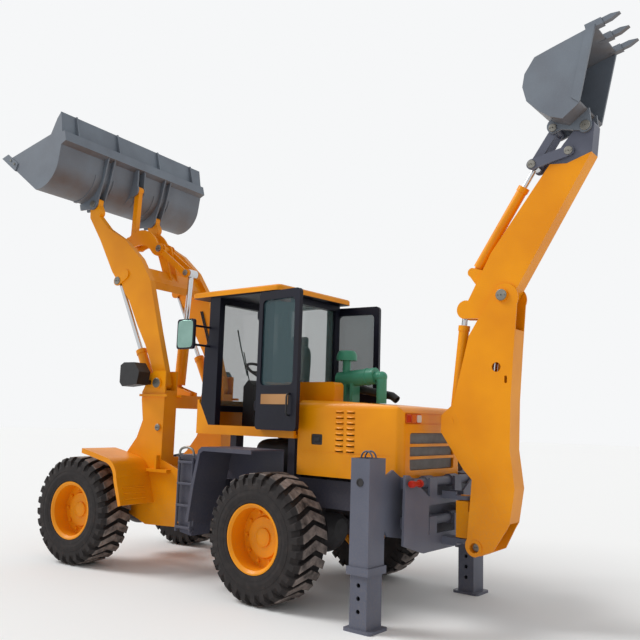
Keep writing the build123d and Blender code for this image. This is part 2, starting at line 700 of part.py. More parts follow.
def loader_arms():
    """Two arms, the beam across them, the bellcrank's bracket and the ears of the lift rams."""
    low, high = arm_y - arm_thick / 2, arm_y + arm_thick / 2
    plate = across(arm_shape, low, high) - cross_pin(arm_pivot, low - 1, high + 1, 45 + ram_gap)
    plate = plate + link_bar(bucket_pin, polar(bucket_pin, -120, 120), 62, low, high)
    plate = plate - cross_pin(bucket_pin, low - 1, high + 1, 35 + ram_gap)
    plate = plate - cross_pin(lift_eye, low - 1, high + 1, 58)
    for angle in lift_slot:
        plate = plate - link_bar(lift_eye, polar(lift_eye, angle, 240), 32, low - 1, high + 1)
    solids = both_sides(plate)
    solids.append(across(beam_shape, -low, low))
    bracket = [(930, 3034), (1005, 3140), (1075, 3150), (crank_pivot[0] + 60, crank_pivot[1] - 20),
               ((crank_pivot[0] + 20, crank_pivot[1] + 65), (crank_pivot[0] - 60, crank_pivot[1] + 10)),
               (960, 3130)]
    solids += both_sides(across(bracket, 42, 67))
    solids.append(cross_pin(crank_pivot, -42, 42, 40))
    solids += both_sides(cross_pin(crank_pivot, 67, 106, 40))
    for side in (1, -1):
        for offset in (-arm_thick / 2 - 15, arm_thick / 2):
            y = side * arm_y + offset
            solids.append(link_bar(lift_eye, polar(lift_eye, 150, 130), 55, y, y + 15))
    return group(solids)


pieces["loader_arms"] = front_frame * loader_arms()


def bellcrank():
    """Two arched plates on a hub, with stub pins for the tilt ram and the bucket's link."""
    outline = [(link_pin[0] + 20, link_pin[1] - 60),
               ((link_pin[0] + 66, link_pin[1] + 20), (link_pin[0] - 10, link_pin[1] + 80)),
               ((1388, 3677), (1155, 3483)), (712, 3150), ((crank_rear[0] - 48, crank_rear[1] + 8),
               (crank_rear[0] + 10, crank_rear[1] - 50)), (1080, 3345), ((1170, 3352), (1260, 3420)),
               ((1400, 3500), (link_pin[0] - 60, link_pin[1] - 70))]
    bore = cross_pin(crank_pivot, 60, 120, 40 + ram_gap)
    plate = across(outline, 70, 92) + cross_pin(crank_pivot, 92, 100, 62)
    plate = plate - bore
    stubs = [cross_pin(crank_rear, 66, 100, 36), cross_pin(link_pin, 42, 100, 36)]
    solids = both_sides(join([plate] + stubs))
    solids.append(cross_pin((1330, 3560), -70, 70, 40))
    return group(solids)


pieces["bellcrank"] = front_frame * bellcrank()
link = join([link_bar(link_pin, tilt_pin, 36, -30, 30), cross_pin(link_pin, -41.6, 41.6, 50),
             cross_pin(tilt_pin, -38, 38, 46)])
pieces["bucket_link"] = front_frame * link


def bucket_point(u, v):
    """Bucket's own axes: u along the floor from its heel, v up from the floor."""
    turn = radians(floor_angle)
    return (bucket_heel[0] + u * cos(turn) - v * sin(turn), bucket_heel[1] + u * sin(turn) + v * cos(turn))


bucket_heel = (1990.0, 3938.0)


def bucket_steps(steps):
    return [tuple(bucket_point(*point) for point in step) if isinstance(step[0], tuple) else bucket_point(*step)
            for step in steps]


def loader_bucket():
    """Bucket with its edge, wear plates, guard and ribs, and the ears behind it."""
    shell = [(827, 0), (60, 0), ((-84, 190), (-66, 430)), (51, 664), (276, 884), (284, 875), (62, 655),
             (-52, 426), ((-69, 195), (68, bucket_wall)), (827, bucket_wall)]
    cheek = [(827, 0), (60, 0), ((-84, 190), (-66, 430)), (51, 664), (276, 884), (285, 800), (262, 606),
             (721, 84), (790, 60)]
    solid = join([across(bucket_steps(shell), -bucket_half, bucket_half)] + both_sides(
        across(bucket_steps(cheek), bucket_half - 20, bucket_half)))
    parts = [solid, across(bucket_steps([(880, -12), (560, -12), (560, 2), (862, 2)]), -bucket_half, bucket_half)]
    flange = across(bucket_steps([(20, 596), (62, 662), (110, 712), (70, 742), (-20, 668)]), -bucket_half,
                    bucket_half)
    parts.append(flange)
    rib = bucket_steps([(90, 700), (276, 884), (262, 898), (70, 742)])
    for y in (-930, -330, 330, 930):
        parts.append(across(rib, y - 9, y + 9))
    turn = radians(-floor_angle)

    def local(point):
        x, z = point[0] - bucket_heel[0], point[1] - bucket_heel[1]
        return (x * cos(turn) - z * sin(turn), x * sin(turn) + z * cos(turn))

    pin, top = local(bucket_pin), local(tilt_pin)
    ear = [(40, 660), (-66, 430), ((-78, 190), (60, -10)), (0, -60), (pin[0], pin[1] - 70),
           ((pin[0] - 70, pin[1]), (pin[0] - 55, pin[1] + 60)), (-120, 400), (-10, 672)]
    wear = [(60, -10), ((-92, 190), (-74, 430)), (-66, 428), ((-78, 190), (62, 2))]
    for side in (1, -1):
        for offset in (-arm_thick / 2 - 22, arm_thick / 2 + 4):
            y = side * arm_y + offset
            parts.append(across(bucket_steps(ear), y, y + 18))
        for offset in (-150, 110):
            y = side * arm_y + offset
            parts.append(across(bucket_steps(wear), y, y + 40))
        low, high = sorted((side * (arm_y - arm_thick / 2 - 22), side * (arm_y + arm_thick / 2 + 22)))
        parts.append(cross_pin(bucket_pin, low, high, 35))
    lug = [(40, 660), (-66, 430), ((-80, 300), (-84, 180)), (top[0] + 10, top[1] - 100),
           ((top[0] - 52, top[1]), (top[0], top[1] + 58)), (-30, 650)]
    parts += both_sides(across(bucket_steps(lug), 44, 62))
    return join(parts)


pieces["loader_bucket"] = front_frame * loader_bucket()
lift_barrel, lift_rod = ram(lift_base, lift_eye, 0, 52, 25, 906, run_out=30)
tilt_barrel, tilt_rod = ram(tilt_base, crank_rear, 0, 62, 30, 640, run_out=30, rod_width=124)
for side, name in ((1, "left"), (-1, "right")):
    pieces["lift_barrel_" + name] = front_frame * Pos(0, side * arm_y, 0) * lift_barrel
    pieces["lift_rod_" + name] = front_frame * Pos(0, side * arm_y, 0) * lift_rod
pieces["tilt_barrel"] = front_frame * tilt_barrel
pieces["tilt_rod"] = front_frame * tilt_rod


# ---- backhoe -----------------------------------------------------------------
slide_x = -1195.0
slide_levels = (748.0, 1055.0)
slide_radius = 38.0
slide_end = 478.0
carriage_rear = -1262.0
carriage_thick = 20.0
carriage_half = 270.0         # outer end of the sleeves on the rails
neck_half = 70.0


def hoe_frame():
    """Leg sleeves, the end plates between them, and the two rails that the carriage slides on."""
    inner_face = leg_y - sleeve_wide / 2
    beside_hood = hood_half + 8
    end_plate = [(slide_end, 628), (693, 662), (inner_face, 715), (inner_face, 1112), (631, 1161),
                 (beside_hood, 1096), (beside_hood, 1044), (slide_end, 1044)]
    solids = []
    for side in (1, -1):
        solids.append(box_tube(leg_x, side * leg_y, sleeve_long, sleeve_wide, sleeve_wall,
                               sleeve_bottom + collar_height, sleeve_top))
        solids.append(box_tube(leg_x, side * leg_y, sleeve_long + 2 * collar_step, sleeve_wide + 2 * collar_step,
                               sleeve_wall + collar_step, sleeve_bottom, sleeve_bottom + collar_height))
        solids.append(endwise([(side * y, z) for y, z in end_plate], -1140, -1120))
        for z in slide_levels:
            solids.append(block(slide_x - slide_radius, -1140, min(side * slide_end, side * (slide_end + 42)),
                                max(side * slide_end, side * (slide_end + 42)), z - 46, z + 46))
        low, high = sorted((side * beside_hood, side * inner_face))
        solids.append(block(-1120, -1020, low, high, 720, 736))
        solids.append(block(-1120, -1020, low, high, 1084, 1100))
    solids.append(block(-1132, frame_rear_x, -slide_end, slide_end, 690, 1040))
    for z in slide_levels:
        solids.append(bar((slide_x, -slide_end, z), (slide_x, slide_end, z), slide_radius))
    return group(solids)


pieces["hoe_frame"] = hoe_frame()


def stabilizer_leg():
    """Rectangular leg with its lock-pin holes, closed at the foot."""
    x_size = sleeve_long - 2 * sleeve_wall - 2 * leg_gap
    y_size = sleeve_wide - 2 * sleeve_wall - 2 * leg_gap
    tube = box_tube(leg_x, leg_y, x_size, y_size, leg_wall, 0, sleeve_top - 40)
    for z in leg_holes:
        tube = tube - bar((leg_x, leg_y - 200, z), (leg_x, leg_y + 200, z), leg_hole_radius)
    cap = block(leg_x - x_size / 2, leg_x + x_size / 2, leg_y - y_size / 2, leg_y + y_size / 2, 0, 30)
    foot = rounded_slot(leg_x - foot_long / 2, leg_x + foot_long / 2, leg_y - foot_wide / 2,
                        leg_y + foot_wide / 2, 0, foot_thick, 24, Axis.Z)
    return join([tube, foot, cap])


leg_holes = (147.0, 240.0, 333.0)
leg_hole_radius = 17.0
leg = stabilizer_leg()
pieces["stabilizer_left"], pieces["stabilizer_right"] = both_sides(leg)


def carriage():
    """Side plates, sleeves on the rails, and two hinge plates for the swing post."""
    side_plate_shape = [(647, 1129), (586, 1127), (282, 950), (282, 518), (360, 517), (660, 604)]
    front = carriage_rear + carriage_thick
    solids = [endwise([(side * y, z) for y, z in side_plate_shape], carriage_rear, front) for side in (1, -1)]
    for bottom, top, z in ((518, 650, slide_levels[0]), (880, 950, slide_levels[1])):
        solids.append(block(carriage_rear, front, -282, 282, bottom, top))
        for side in (1, -1):
            low, high = sorted((side * 150, side * carriage_half))
            sleeve = bar((slide_x, low, z), (slide_x, high, z), slide_radius + 14)
            pad = block(front, slide_x, low, high, z - 26, z + 26)
            solids.append((sleeve + pad) - bar((slide_x, low - 1, z), (slide_x, high + 1, z),
                                               slide_radius + ram_gap))
            solids.append(block(carriage_rear, front, low, high, top - 1, z + 40))
    solids = [join(solids)]
    for z in swing_levels:
        neck = upright([(carriage_rear, -neck_half), (swing_x, -neck_half), ((swing_x - neck_half, 0),
                        (swing_x, neck_half)), (carriage_rear, neck_half)], z, z + 30)
        solids.append(neck - bar((swing_x, 0, z - 1), (swing_x, 0, z + 31), 40 + ram_gap))
    for y in (-neck_half, neck_half - 16):
        for low, high in ((560, 590), (955, 985)):
            solids.append(block(carriage_rear - 130, carriage_rear, y, y + 16, low, high))
    return group(solids)


swing_levels = (590.0, 925.0)
pieces["carriage"] = carriage()


def kingpost():
    """Swing post between the carriage's hinge plates, with the boom's foot and ram behind it."""
    core = across([(swing_x + 50, 628), (-1523, 628), (-1523, 575), ((-1590, 505), (-1660, 575)), (-1660, 640),
                   (-1575, 812), (-1523, 812), (-1500, 840), (-1500, 917), (swing_x + 50, 917)], -70, 70)
    x, z = boom_ram_base
    ears = both_sides(across([(-1523, 800), (-1523, z - 20), ((x + 38, z + 20), (x, z + 43)), (x - 43, z),
                              (x - 32, z - 34), (-1565, 808), (-1565, 800)], 34, 60))
    pins = [bar((swing_x, 0, 586), (swing_x, 0, 960), 40), cross_pin(boom_foot, -104, 104, 38),
            cross_pin(boom_ram_base, -60, 60, 22)]
    return join([core] + ears + pins)


pieces["kingpost"] = kingpost()


def flare_y(x, z):
    """Half width of the boom at a point of its side: it widens below the crease."""
    rise, run = crease_top[1] - crease_foot[1], crease_top[0] - crease_foot[0]
    beyond = ((x - crease_top[0]) * rise - (z - crease_top[1]) * run) / hypot(rise, run)
    return boom_half + flare_rate * beyond


crease_top = (-1357.0, 1683.0)
crease_foot = (-1828.0, 727.0)
flare_rate = 0.195


def boom():
    """Two side plates that flare out towards the foot, a rear cover, and bosses for the pins."""
    upper = [(-1508, 2255), (-1375, 1724), crease_top, crease_foot, (-1859, 781), (-1901, 1046), (-1861, 1345),
             (-1870, 1729), (-1896, 2119), (-1925, 2500), ((-1890, 2640), (-1760, 2650)), (-1700, 2560)]
    lower = [crease_top, (-1274, 1600), (-1276, 1461), (-1478, 1167), (-1548, 1094), (-1530, 640),
             ((-1545, 530), (-1600, 506)), (-1736, 565), crease_foot]
    flared = extrude(face_of(lower, lambda x, z: (x, flare_y(x, z), z)), amount=side_plate, dir=(0, -1, 0))
    side = across(upper, boom_half - side_plate, boom_half) + flared
    side = side - cross_pin((-1749, 1992), 0, 200, 38)
    side = side - link_bar((-1829, 1875), (-1829, 1912), 12, 0, 200)
    foot_boss = cross_pin(boom_foot, 80, flare_y(*boom_foot), 62)
    bosses = [foot_boss, cross_pin(boom_ram_eye, 34, boom_half - 5, 44),
              cross_pin(dipper_ram_base, 34, flare_y(*dipper_ram_base) - 5, 44)]
    side = join([side] + bosses)
    side = side - cross_pin(boom_foot, 0, 300, 38 + ram_gap)
    cap = cross_pin(dipper_pivot, boom_half - side_plate, boom_half + 16, 52)
    sides = both_sides(side + cap)
    cover = across([(-1901, 1046), (-1861, 1345), (-1870, 1729), (-1896, 2119), (-1910, 2290), (-1895, 2290),
                    (-1881, 2119), (-1855, 1729), (-1846, 1345), (-1886, 1046), (-1846, 810), (-1859, 781)],
                   side_plate - boom_half, boom_half - side_plate)
    pins = [cross_pin(dipper_pivot, side_plate - boom_half, boom_half - side_plate, 35),
            cross_pin(dipper_ram_base, -34, 34, 22)]
    return join(sides + [cover] + pins)


pieces["boom"] = boom()


def dipper():
    """Tapered box with its grey nose, the slot for its ram's rod and the ears of the curl ram."""
    half = dipper_half
    main = [(-1491, 2550), ((-1392, 2500), (-1437, 2403)), (-1599, 2393), (-1748, 2500), (-1850, 2505),
            (-1900, 2590), (-2524, 3629), (-2332, 3572), (-2197, 3590), (-2048, 3396), (-1696, 2932)]
    nose = [(-2524, 3629), (-2332, 3572), (-2197, 3590), (-2300, 3730), (-2430, 3875),
            ((-2490, 3902), (-2548, 3850))]
    slot = [(-1880, 2350), (-1340, 2350), (-1340, 2585), (-1625, 2585), (-1735, 2526), (-1880, 2522)]
    body = across(main, -half, half) + across(nose, 6 - half, half - 6)
    body = body - across(slot, -45, 45)
    x, z = curl_ram_base
    ear = [(-1560, 2672), (x + 20, z - 36), ((x + 41, z), (x - 20, z + 30)), (-1625, 2795), (-1640, 2820)]
    body = join([body] + both_sides(across(ear, 34, 58)) + [cross_pin(curl_ram_base, -58, 58, 22)])
    for point, radius in ((dipper_pivot, 35), (hoe_pivot, 30), (rocker_pivot, 26)):
        body = body - cross_pin(point, -200, 200, radius + ram_gap)
    return body


pieces["dipper"] = dipper()


def rocker():
    """Pair of arms on one pin through the dipper's nose, with stub pins for the push link."""
    arm = link_bar(rocker_pivot, rocker_pin, 42, dipper_half + 2, dipper_half + 20)
    stubs = both_sides(join([arm, cross_pin(rocker_pin, 44, dipper_half + 20, 22)]))
    return join(stubs + [cross_pin(rocker_pivot, -dipper_half - 20, dipper_half + 20, 26)])


def push_link():
    """Two straps on the rocker's stubs, joined by a tube between the bucket's ears."""
    strap = link_bar(rocker_pin, ear_pin, 34, 44, 62) - cross_pin(rocker_pin, 40, 66, 22 + ram_gap)
    return join(both_sides(strap) + [cross_pin(ear_pin, -62, 62, 32)])


pieces["rocker"] = rocker()
pieces["push_link"] = push_link()


def hoe_bucket():
    """Digging bucket with its side plates, ears and three teeth on adapters."""
    inside = hoe_half - side_plate
    back = [(-2631, 4543), (-2300, 4459), (-2154, 4419), (-2071, 4300), (-2053, 4196), (-2086, 4071),
            (-2191, 3962), (-2270, 3903), (-2370, 3862), (-2501, 3958)]
    lining = [(-2508, 3968), (-2372, 3877), (-2276, 3916), (-2199, 3972), (-2098, 4077), (-2066, 4196),
              (-2084, 4295), (-2160, 4407), (-2303, 4446), (-2634, 4530)]
    shell = across(back + lining, -hoe_half, hoe_half)
    cheek = across(back, inside, hoe_half)
    ear = [(-2230, 3950), ((-2186, 3880), (-2232, 3828)), (-2300, 3850), (-2440, 3810),
           ((-2500, 3790), (-2533, 3840)), (-2520, 3975), (-2380, 3880), (-2280, 3916)]
    cutter = across([(-2631, 4543), (-2560, 4525), (-2440, 4010), (-2501, 3958)], hoe_half, hoe_half + 10)
    parts = [shell] + both_sides(cheek) + both_sides(cutter)
    parts += both_sides(across(ear, dipper_half + 3, dipper_half + 25))
    parts.append(cross_pin(hoe_pivot, -dipper_half - 25, dipper_half + 25, 30))
    parts += both_sides(cross_pin(ear_pin, dipper_half + 3, dipper_half + 34, 34))
    tooth = [(-2668, 4540), (-2655, 4578), (-2740, 4596), (-2806, 4592), (-2742, 4556)]
    adapter = [(-2560, 4512), (-2548, 4562), (-2672, 4586), (-2690, 4536)]
    for y in (-hoe_half + 26, 0, hoe_half - 26):
        parts.append(across(adapter, y - 30, y + 30))
        parts.append(across(tooth, y - 22, y + 22))
    return join(parts)


pieces["hoe_bucket"] = hoe_bucket()
# Backhoe rams: name, base and eye pins, barrel and rod radius, barrel length, run-out of the parked rod.
hoe_rams = [("boom", boom_ram_base, boom_ram_eye, 47, 28, 950, 560),
            ("dipper", dipper_ram_base, dipper_tail, 43, 25, 805, 575),
            ("curl", curl_ram_base, rocker_pin, 42, 22, 800, 465)]
for name, base, eye, barrel_radius, rod_radius, barrel_length, run_out in hoe_rams:
    shapes = ram(base, eye, 0, barrel_radius, rod_radius, barrel_length, run_out)
    pieces[name + "_barrel"], pieces[name + "_rod"] = shapes


# ---- writing out -------------------------------------------------------------
os.makedirs("parts", exist_ok=True)
box = Compound(children=[Compound(shape.solids()) for shape in pieces.values()]).bounding_box()
to_origin = Pos(-(box.min.X + box.max.X) / 2, -(box.min.Y + box.max.Y) / 2, 0)
for name, shape in pieces.items():
    export_step(to_origin * shape, f"parts/{name}.step")
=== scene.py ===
import bpy
import numpy as np
from math import cos, pi, radians, sin
from mathutils import Matrix, Vector


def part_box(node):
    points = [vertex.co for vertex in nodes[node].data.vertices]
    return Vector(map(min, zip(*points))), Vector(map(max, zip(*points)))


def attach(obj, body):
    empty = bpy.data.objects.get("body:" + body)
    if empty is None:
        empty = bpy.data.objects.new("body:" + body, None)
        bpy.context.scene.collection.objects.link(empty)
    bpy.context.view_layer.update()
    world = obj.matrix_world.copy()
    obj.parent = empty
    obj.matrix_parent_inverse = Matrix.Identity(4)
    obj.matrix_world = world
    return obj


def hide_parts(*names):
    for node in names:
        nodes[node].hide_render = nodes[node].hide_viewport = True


# Looks of the articulated backhoe loader: paints, rubber, glass and small fittings.
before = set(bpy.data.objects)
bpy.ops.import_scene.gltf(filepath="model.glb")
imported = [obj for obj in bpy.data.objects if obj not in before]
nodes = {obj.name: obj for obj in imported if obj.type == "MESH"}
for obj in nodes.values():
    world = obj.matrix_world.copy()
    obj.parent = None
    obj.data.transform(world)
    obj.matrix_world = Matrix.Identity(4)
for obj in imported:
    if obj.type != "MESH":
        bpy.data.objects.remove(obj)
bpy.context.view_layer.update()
print("frame loaded:", len(nodes), "nodes")


def middleOf(node):
    low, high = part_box(node)
    return (low + high) / 2


# the machine's own datum is the ground point under the rear axle, and the front frame's is its pivot
rearAxle = (middleOf("tyre_rear_left") + middleOf("tyre_rear_right")) / 2
datum = Vector((rearAxle.x, rearAxle.y, 0))
layout = {
    "pivotAhead": 1265.0,    # mm from the rear axle to the steering pivot
    "steerTurn": 5.5,        # degrees, the front frame as parked
    "tyreRadius": 537.5,
    "hoodHalf": 500.0,
    "hoodRear": -1130.0,
    "sleeveX": -1060.0,
    "sleeveY": 854.0,
    "doorHinge": (405.0, 571.0),
    "doorTurn": 174.0,       # degrees the leaf is folded back
}


def rearPlace(points):
    # millimetres from the datum to metres in the frame
    return np.asarray(points, float) / 1000 + np.array(datum)


def frontPlace(points):
    # the same for the front frame: turned about the pivot by the parked steering
    points = np.asarray(points, float)
    turn = radians(layout["steerTurn"])
    x = layout["pivotAhead"] + points[..., 0] * cos(turn) - points[..., 1] * sin(turn)
    y = points[..., 0] * sin(turn) + points[..., 1] * cos(turn)
    return rearPlace(np.stack([x, y, points[..., 2]], -1))


def toLinear(hexColour):
    # sRGB hex to linear: ((c + 0.055) / 1.055) ^ 2.4 above 0.04045, c / 12.92 below
    value = hexColour.lstrip("#")
    channels = [int(value[i:i + 2], 16) / 255 for i in (0, 2, 4)]
    linear = [c / 12.92 if c <= 0.04045 else ((c + 0.055) / 1.055) ** 2.4 for c in channels]
    return (*linear, 1.0)


def addNode(tree, kind, settings=None, sockets=None, out=0):
    # adds a node and returns one output: a socket given as another node's output is linked, the rest are set
    node = tree.nodes.new(kind)
    for key, value in (settings or {}).items():
        setattr(node, key, value)
    for key, value in (sockets or {}).items():
        if isinstance(value, bpy.types.NodeSocket):
            tree.links.new(value, node.inputs[key])
        else:
            node.inputs[key].default_value = value
    return node.outputs[out] if len(node.outputs) else node


def startMaterial(name):
    material = bpy.data.materials.new(name)
    material.use_nodes = True
    material.node_tree.nodes.clear()
    return material, material.node_tree


def finishMaterial(tree, sockets):
    shader = addNode(tree, "ShaderNodeBsdfPrincipled", None, sockets)
    addNode(tree, "ShaderNodeOutputMaterial", None, {"Surface": shader})


paintLook = {
    "peelMm": 5.0,         # orange peel, drawn coarse enough to show
    "cloudMm": 420.0,      # slow shift of tone over a panel
    "speckMm": 16.0,
    "dustTop": 1.5,        # metres above the ground where road dust ends
    "bump": 0.05,
}


def sprayPaint(name, colour, shade, dust="#8b8073", dustAmount=0.25, roughness=0.4, coat=0.06):
    # enamel sprayed on sheet steel: even, glossy, a faint orange peel, a slow shift of tone, dust low down
    material, tree = startMaterial(name)
    where = addNode(tree, "ShaderNodeTexCoord", out="Object")
    cloud = addNode(tree, "ShaderNodeTexNoise", None,
                    {"Vector": where, "Scale": 1000 / paintLook["cloudMm"], "Detail": 2.0}, "Fac")
    cloud = addNode(tree, "ShaderNodeMapRange", None, {"Value": cloud, "From Min": 0.35, "From Max": 0.65})
    tone = addNode(tree, "ShaderNodeMix", {"data_type": "RGBA"},
                   {0: cloud, 6: toLinear(colour), 7: toLinear(shade)}, 2)
    speck = addNode(tree, "ShaderNodeTexNoise", None,
                    {"Vector": where, "Scale": 1000 / paintLook["speckMm"], "Detail": 5.0, "Roughness": 0.7},
                    "Fac")
    speck = addNode(tree, "ShaderNodeMapRange", None, {"Value": speck, "From Min": 0.45, "From Max": 0.75})
    height = addNode(tree, "ShaderNodeSeparateXYZ", None, {0: where}, "Z")
    low = addNode(tree, "ShaderNodeMapRange", None,
                  {"Value": height, "From Min": 0.1, "From Max": paintLook["dustTop"], "To Min": dustAmount,
                   "To Max": 0.02})
    dirty = addNode(tree, "ShaderNodeMath", {"operation": "MULTIPLY"}, {0: speck, 1: low})
    tone = addNode(tree, "ShaderNodeMix", {"data_type": "RGBA"}, {0: dirty, 6: tone, 7: toLinear(dust)}, 2)
    rough = addNode(tree, "ShaderNodeMapRange", None,
                    {"Value": dirty, "From Max": 0.4, "To Min": roughness,
                     "To Max": min(roughness + 0.3, 0.9)})
    peel = addNode(tree, "ShaderNodeTexNoise", None,
                   {"Vector": where, "Scale": 1000 / paintLook["peelMm"], "Detail": 1.0}, "Fac")
    bump = addNode(tree, "ShaderNodeBump", None,
                   {"Strength": paintLook["bump"], "Distance": 0.002, "Height": peel})
    finishMaterial(tree, {"Base Color": tone, "Roughness": rough, "Normal": bump, "Specular IOR Level": 0.22,
                          "Coat Weight": coat, "Coat Roughness": 0.12})
    return material


def wornSteelPaint(name, colour, shade, rustAndGroundReflection, rustAndReflectionAmount=0.5):
    # grey enamel on plate that has worked: fine scratches to bare steel, and brown on what faces down,
    # partly rust and partly a painted reflection of the brown ground
    material, tree = startMaterial(name)
    where = addNode(tree, "ShaderNodeTexCoord", out="Object")
    cloud = addNode(tree, "ShaderNodeTexNoise", None, {"Vector": where, "Scale": 3.3, "Detail": 3.0}, "Fac")
    cloud = addNode(tree, "ShaderNodeMapRange", None, {"Value": cloud, "From Min": 0.3, "From Max": 0.7})
    tone = addNode(tree, "ShaderNodeMix", {"data_type": "RGBA"},
                   {0: cloud, 6: toLinear(colour), 7: toLinear(shade)}, 2)
    # faces that point down take the brown: partly rust, partly a painted reflection of the ground under the
    # bucket
    normal = addNode(tree, "ShaderNodeTexCoord", out="Normal")
    facing = addNode(tree, "ShaderNodeSeparateXYZ", None, {0: normal}, "Z")
    under = addNode(tree, "ShaderNodeMapRange", None, {"Value": facing, "From Min": 0.15, "From Max": -0.75})
    patch = addNode(tree, "ShaderNodeTexNoise", None, {"Vector": where, "Scale": 4.2, "Detail": 4.0}, "Fac")
    patch = addNode(tree, "ShaderNodeMapRange", None,
                    {"Value": patch, "From Min": 0.25, "From Max": 0.7, "To Min": 0.35 * rustAndReflectionAmount,
                     "To Max": rustAndReflectionAmount})
    # the brown film: rust together with a painted reflection of the ground, in patches on the down-facing
    # faces
    film = addNode(tree, "ShaderNodeMath", {"operation": "MULTIPLY"}, {0: under, 1: patch})
    tone = addNode(tree, "ShaderNodeMix", {"data_type": "RGBA"}, {0: film, 6: tone, 7: toLinear(rustAndGroundReflection)}, 2)
    speck = addNode(tree, "ShaderNodeTexNoise", None,
                    {"Vector": where, "Scale": 110.0, "Detail": 5.0, "Roughness": 0.75}, "Fac")
    bare = addNode(tree, "ShaderNodeMapRange", None,
                   {"Value": speck, "From Min": 0.55, "From Max": 0.8, "To Max": 0.3})
    tone = addNode(tree, "ShaderNodeMix", {"data_type": "RGBA"},
                   {0: bare, 6: tone, 7: toLinear("#9aa0a6")}, 2)
    bump = addNode(tree, "ShaderNodeBump", None, {"Strength": 0.12, "Distance": 0.002, "Height": speck})
    finishMaterial(tree, {"Base Color": tone, "Roughness": 0.46, "Normal": bump})
    return material


def tyreRubber(name, centre, axis, treadRadius):
    # carbon black rubber moulded in a ribbed die: dusty beige on the lug faces, darker on the side
    material, tree = startMaterial(name)
    where = addNode(tree, "ShaderNodeTexCoord", out="Object")
    offset = addNode(tree, "ShaderNodeVectorMath", {"operation": "SUBTRACT"}, {0: where, 1: centre})
    along = addNode(tree, "ShaderNodeVectorMath", {"operation": "DOT_PRODUCT"},
                    {0: offset, 1: axis}, "Value")
    size = addNode(tree, "ShaderNodeVectorMath", {"operation": "LENGTH"}, {0: offset}, "Value")
    sizeSquare = addNode(tree, "ShaderNodeMath", {"operation": "POWER"}, {0: size, 1: 2.0})
    alongSquare = addNode(tree, "ShaderNodeMath", {"operation": "POWER"}, {0: along, 1: 2.0})
    square = addNode(tree, "ShaderNodeMath", {"operation": "SUBTRACT"}, {0: sizeSquare, 1: alongSquare})
    square = addNode(tree, "ShaderNodeMath", {"operation": "MAXIMUM"}, {0: square, 1: 0.0})
    radius = addNode(tree, "ShaderNodeMath", {"operation": "SQRT"}, {0: square})
    face = addNode(tree, "ShaderNodeMapRange", None,
                   {"Value": radius, "From Min": treadRadius - 0.012, "From Max": treadRadius - 0.002})
    patch = addNode(tree, "ShaderNodeTexNoise", None,
                    {"Vector": where, "Scale": 8.0, "Detail": 5.0, "Roughness": 0.65}, "Fac")
    patch = addNode(tree, "ShaderNodeMapRange", None,
                    {"Value": patch, "From Min": 0.3, "From Max": 0.62, "To Max": 0.95})
    dusty = addNode(tree, "ShaderNodeMath", {"operation": "MULTIPLY"}, {0: face, 1: patch})
    smear = addNode(tree, "ShaderNodeTexNoise", None, {"Vector": where, "Scale": 16.0, "Detail": 4.0}, "Fac")
    smear = addNode(tree, "ShaderNodeMapRange", None,
                    {"Value": smear, "From Min": 0.45, "From Max": 0.75, "To Max": 0.35})
    tone = addNode(tree, "ShaderNodeMix", {"data_type": "RGBA"},
                   {0: smear, 6: toLinear("#242020"), 7: toLinear("#443c38")}, 2)
    tone = addNode(tree, "ShaderNodeMix", {"data_type": "RGBA"},
                   {0: dusty, 6: tone, 7: toLinear("#9a8d86")}, 2)
    grain = addNode(tree, "ShaderNodeTexNoise", None,
                    {"Vector": where, "Scale": 140.0, "Detail": 4.0}, "Fac")
    bump = addNode(tree, "ShaderNodeBump", None, {"Strength": 0.25, "Distance": 0.002, "Height": grain})
    finishMaterial(tree, {"Base Color": tone, "Roughness": 0.78, "Normal": bump, "Specular IOR Level": 0.35})
    return material


def rodSteel(name):
    # hard chrome on ground steel: bright, with fine rings left by the grinding
    material, tree = startMaterial(name)
    where = addNode(tree, "ShaderNodeTexCoord", out="Object")
    rings = addNode(tree, "ShaderNodeTexNoise", None,
                    {"Vector": where, "Scale": 160.0, "Detail": 2.0}, "Fac")
    rough = addNode(tree, "ShaderNodeMapRange", None,
                    {"Value": rings, "From Min": 0.3, "From Max": 0.7, "To Min": 0.12, "To Max": 0.26})
    finishMaterial(tree, {"Base Color": toLinear("#c9cbcd"), "Metallic": 1.0, "Roughness": rough})
    return material


def castMetal(name, colour, shade, metallic=0.0, roughness=0.6, grainMm=6.0, strength=0.2):
    # sand-cast or sawn metal: mottled, with a coarse grain
    material, tree = startMaterial(name)
    where = addNode(tree, "ShaderNodeTexCoord", out="Object")
    mottle = addNode(tree, "ShaderNodeTexNoise", None,
                     {"Vector": where, "Scale": 11.0, "Detail": 5.0}, "Fac")
    mottle = addNode(tree, "ShaderNodeMapRange", None, {"Value": mottle, "From Min": 0.3, "From Max": 0.7})
    tone = addNode(tree, "ShaderNodeMix", {"data_type": "RGBA"},
                   {0: mottle, 6: toLinear(colour), 7: toLinear(shade)}, 2)
    grain = addNode(tree, "ShaderNodeTexNoise", None,
                    {"Vector": where, "Scale": 1000 / grainMm, "Detail": 4.0}, "Fac")
    bump = addNode(tree, "ShaderNodeBump", None, {"Strength": strength, "Distance": 0.002, "Height": grain})
    finishMaterial(tree, {"Base Color": tone, "Metallic": metallic, "Roughness": roughness, "Normal": bump})
    return material


def tintedGlass(name, colour, alpha):
    # toughened float glass with a green body tint and a thin film of dust
    material, tree = startMaterial(name)
    where = addNode(tree, "ShaderNodeTexCoord", out="Object")
    film = addNode(tree, "ShaderNodeTexNoise", None, {"Vector": where, "Scale": 3.0, "Detail": 2.0}, "Fac")
    rough = addNode(tree, "ShaderNodeMapRange", None,
                    {"Value": film, "From Min": 0.3, "From Max": 0.75, "To Min": 0.03, "To Max": 0.1})
    finishMaterial(tree, {"Base Color": toLinear(colour), "Roughness": rough, "IOR": 1.52, "Alpha": alpha})
    return material


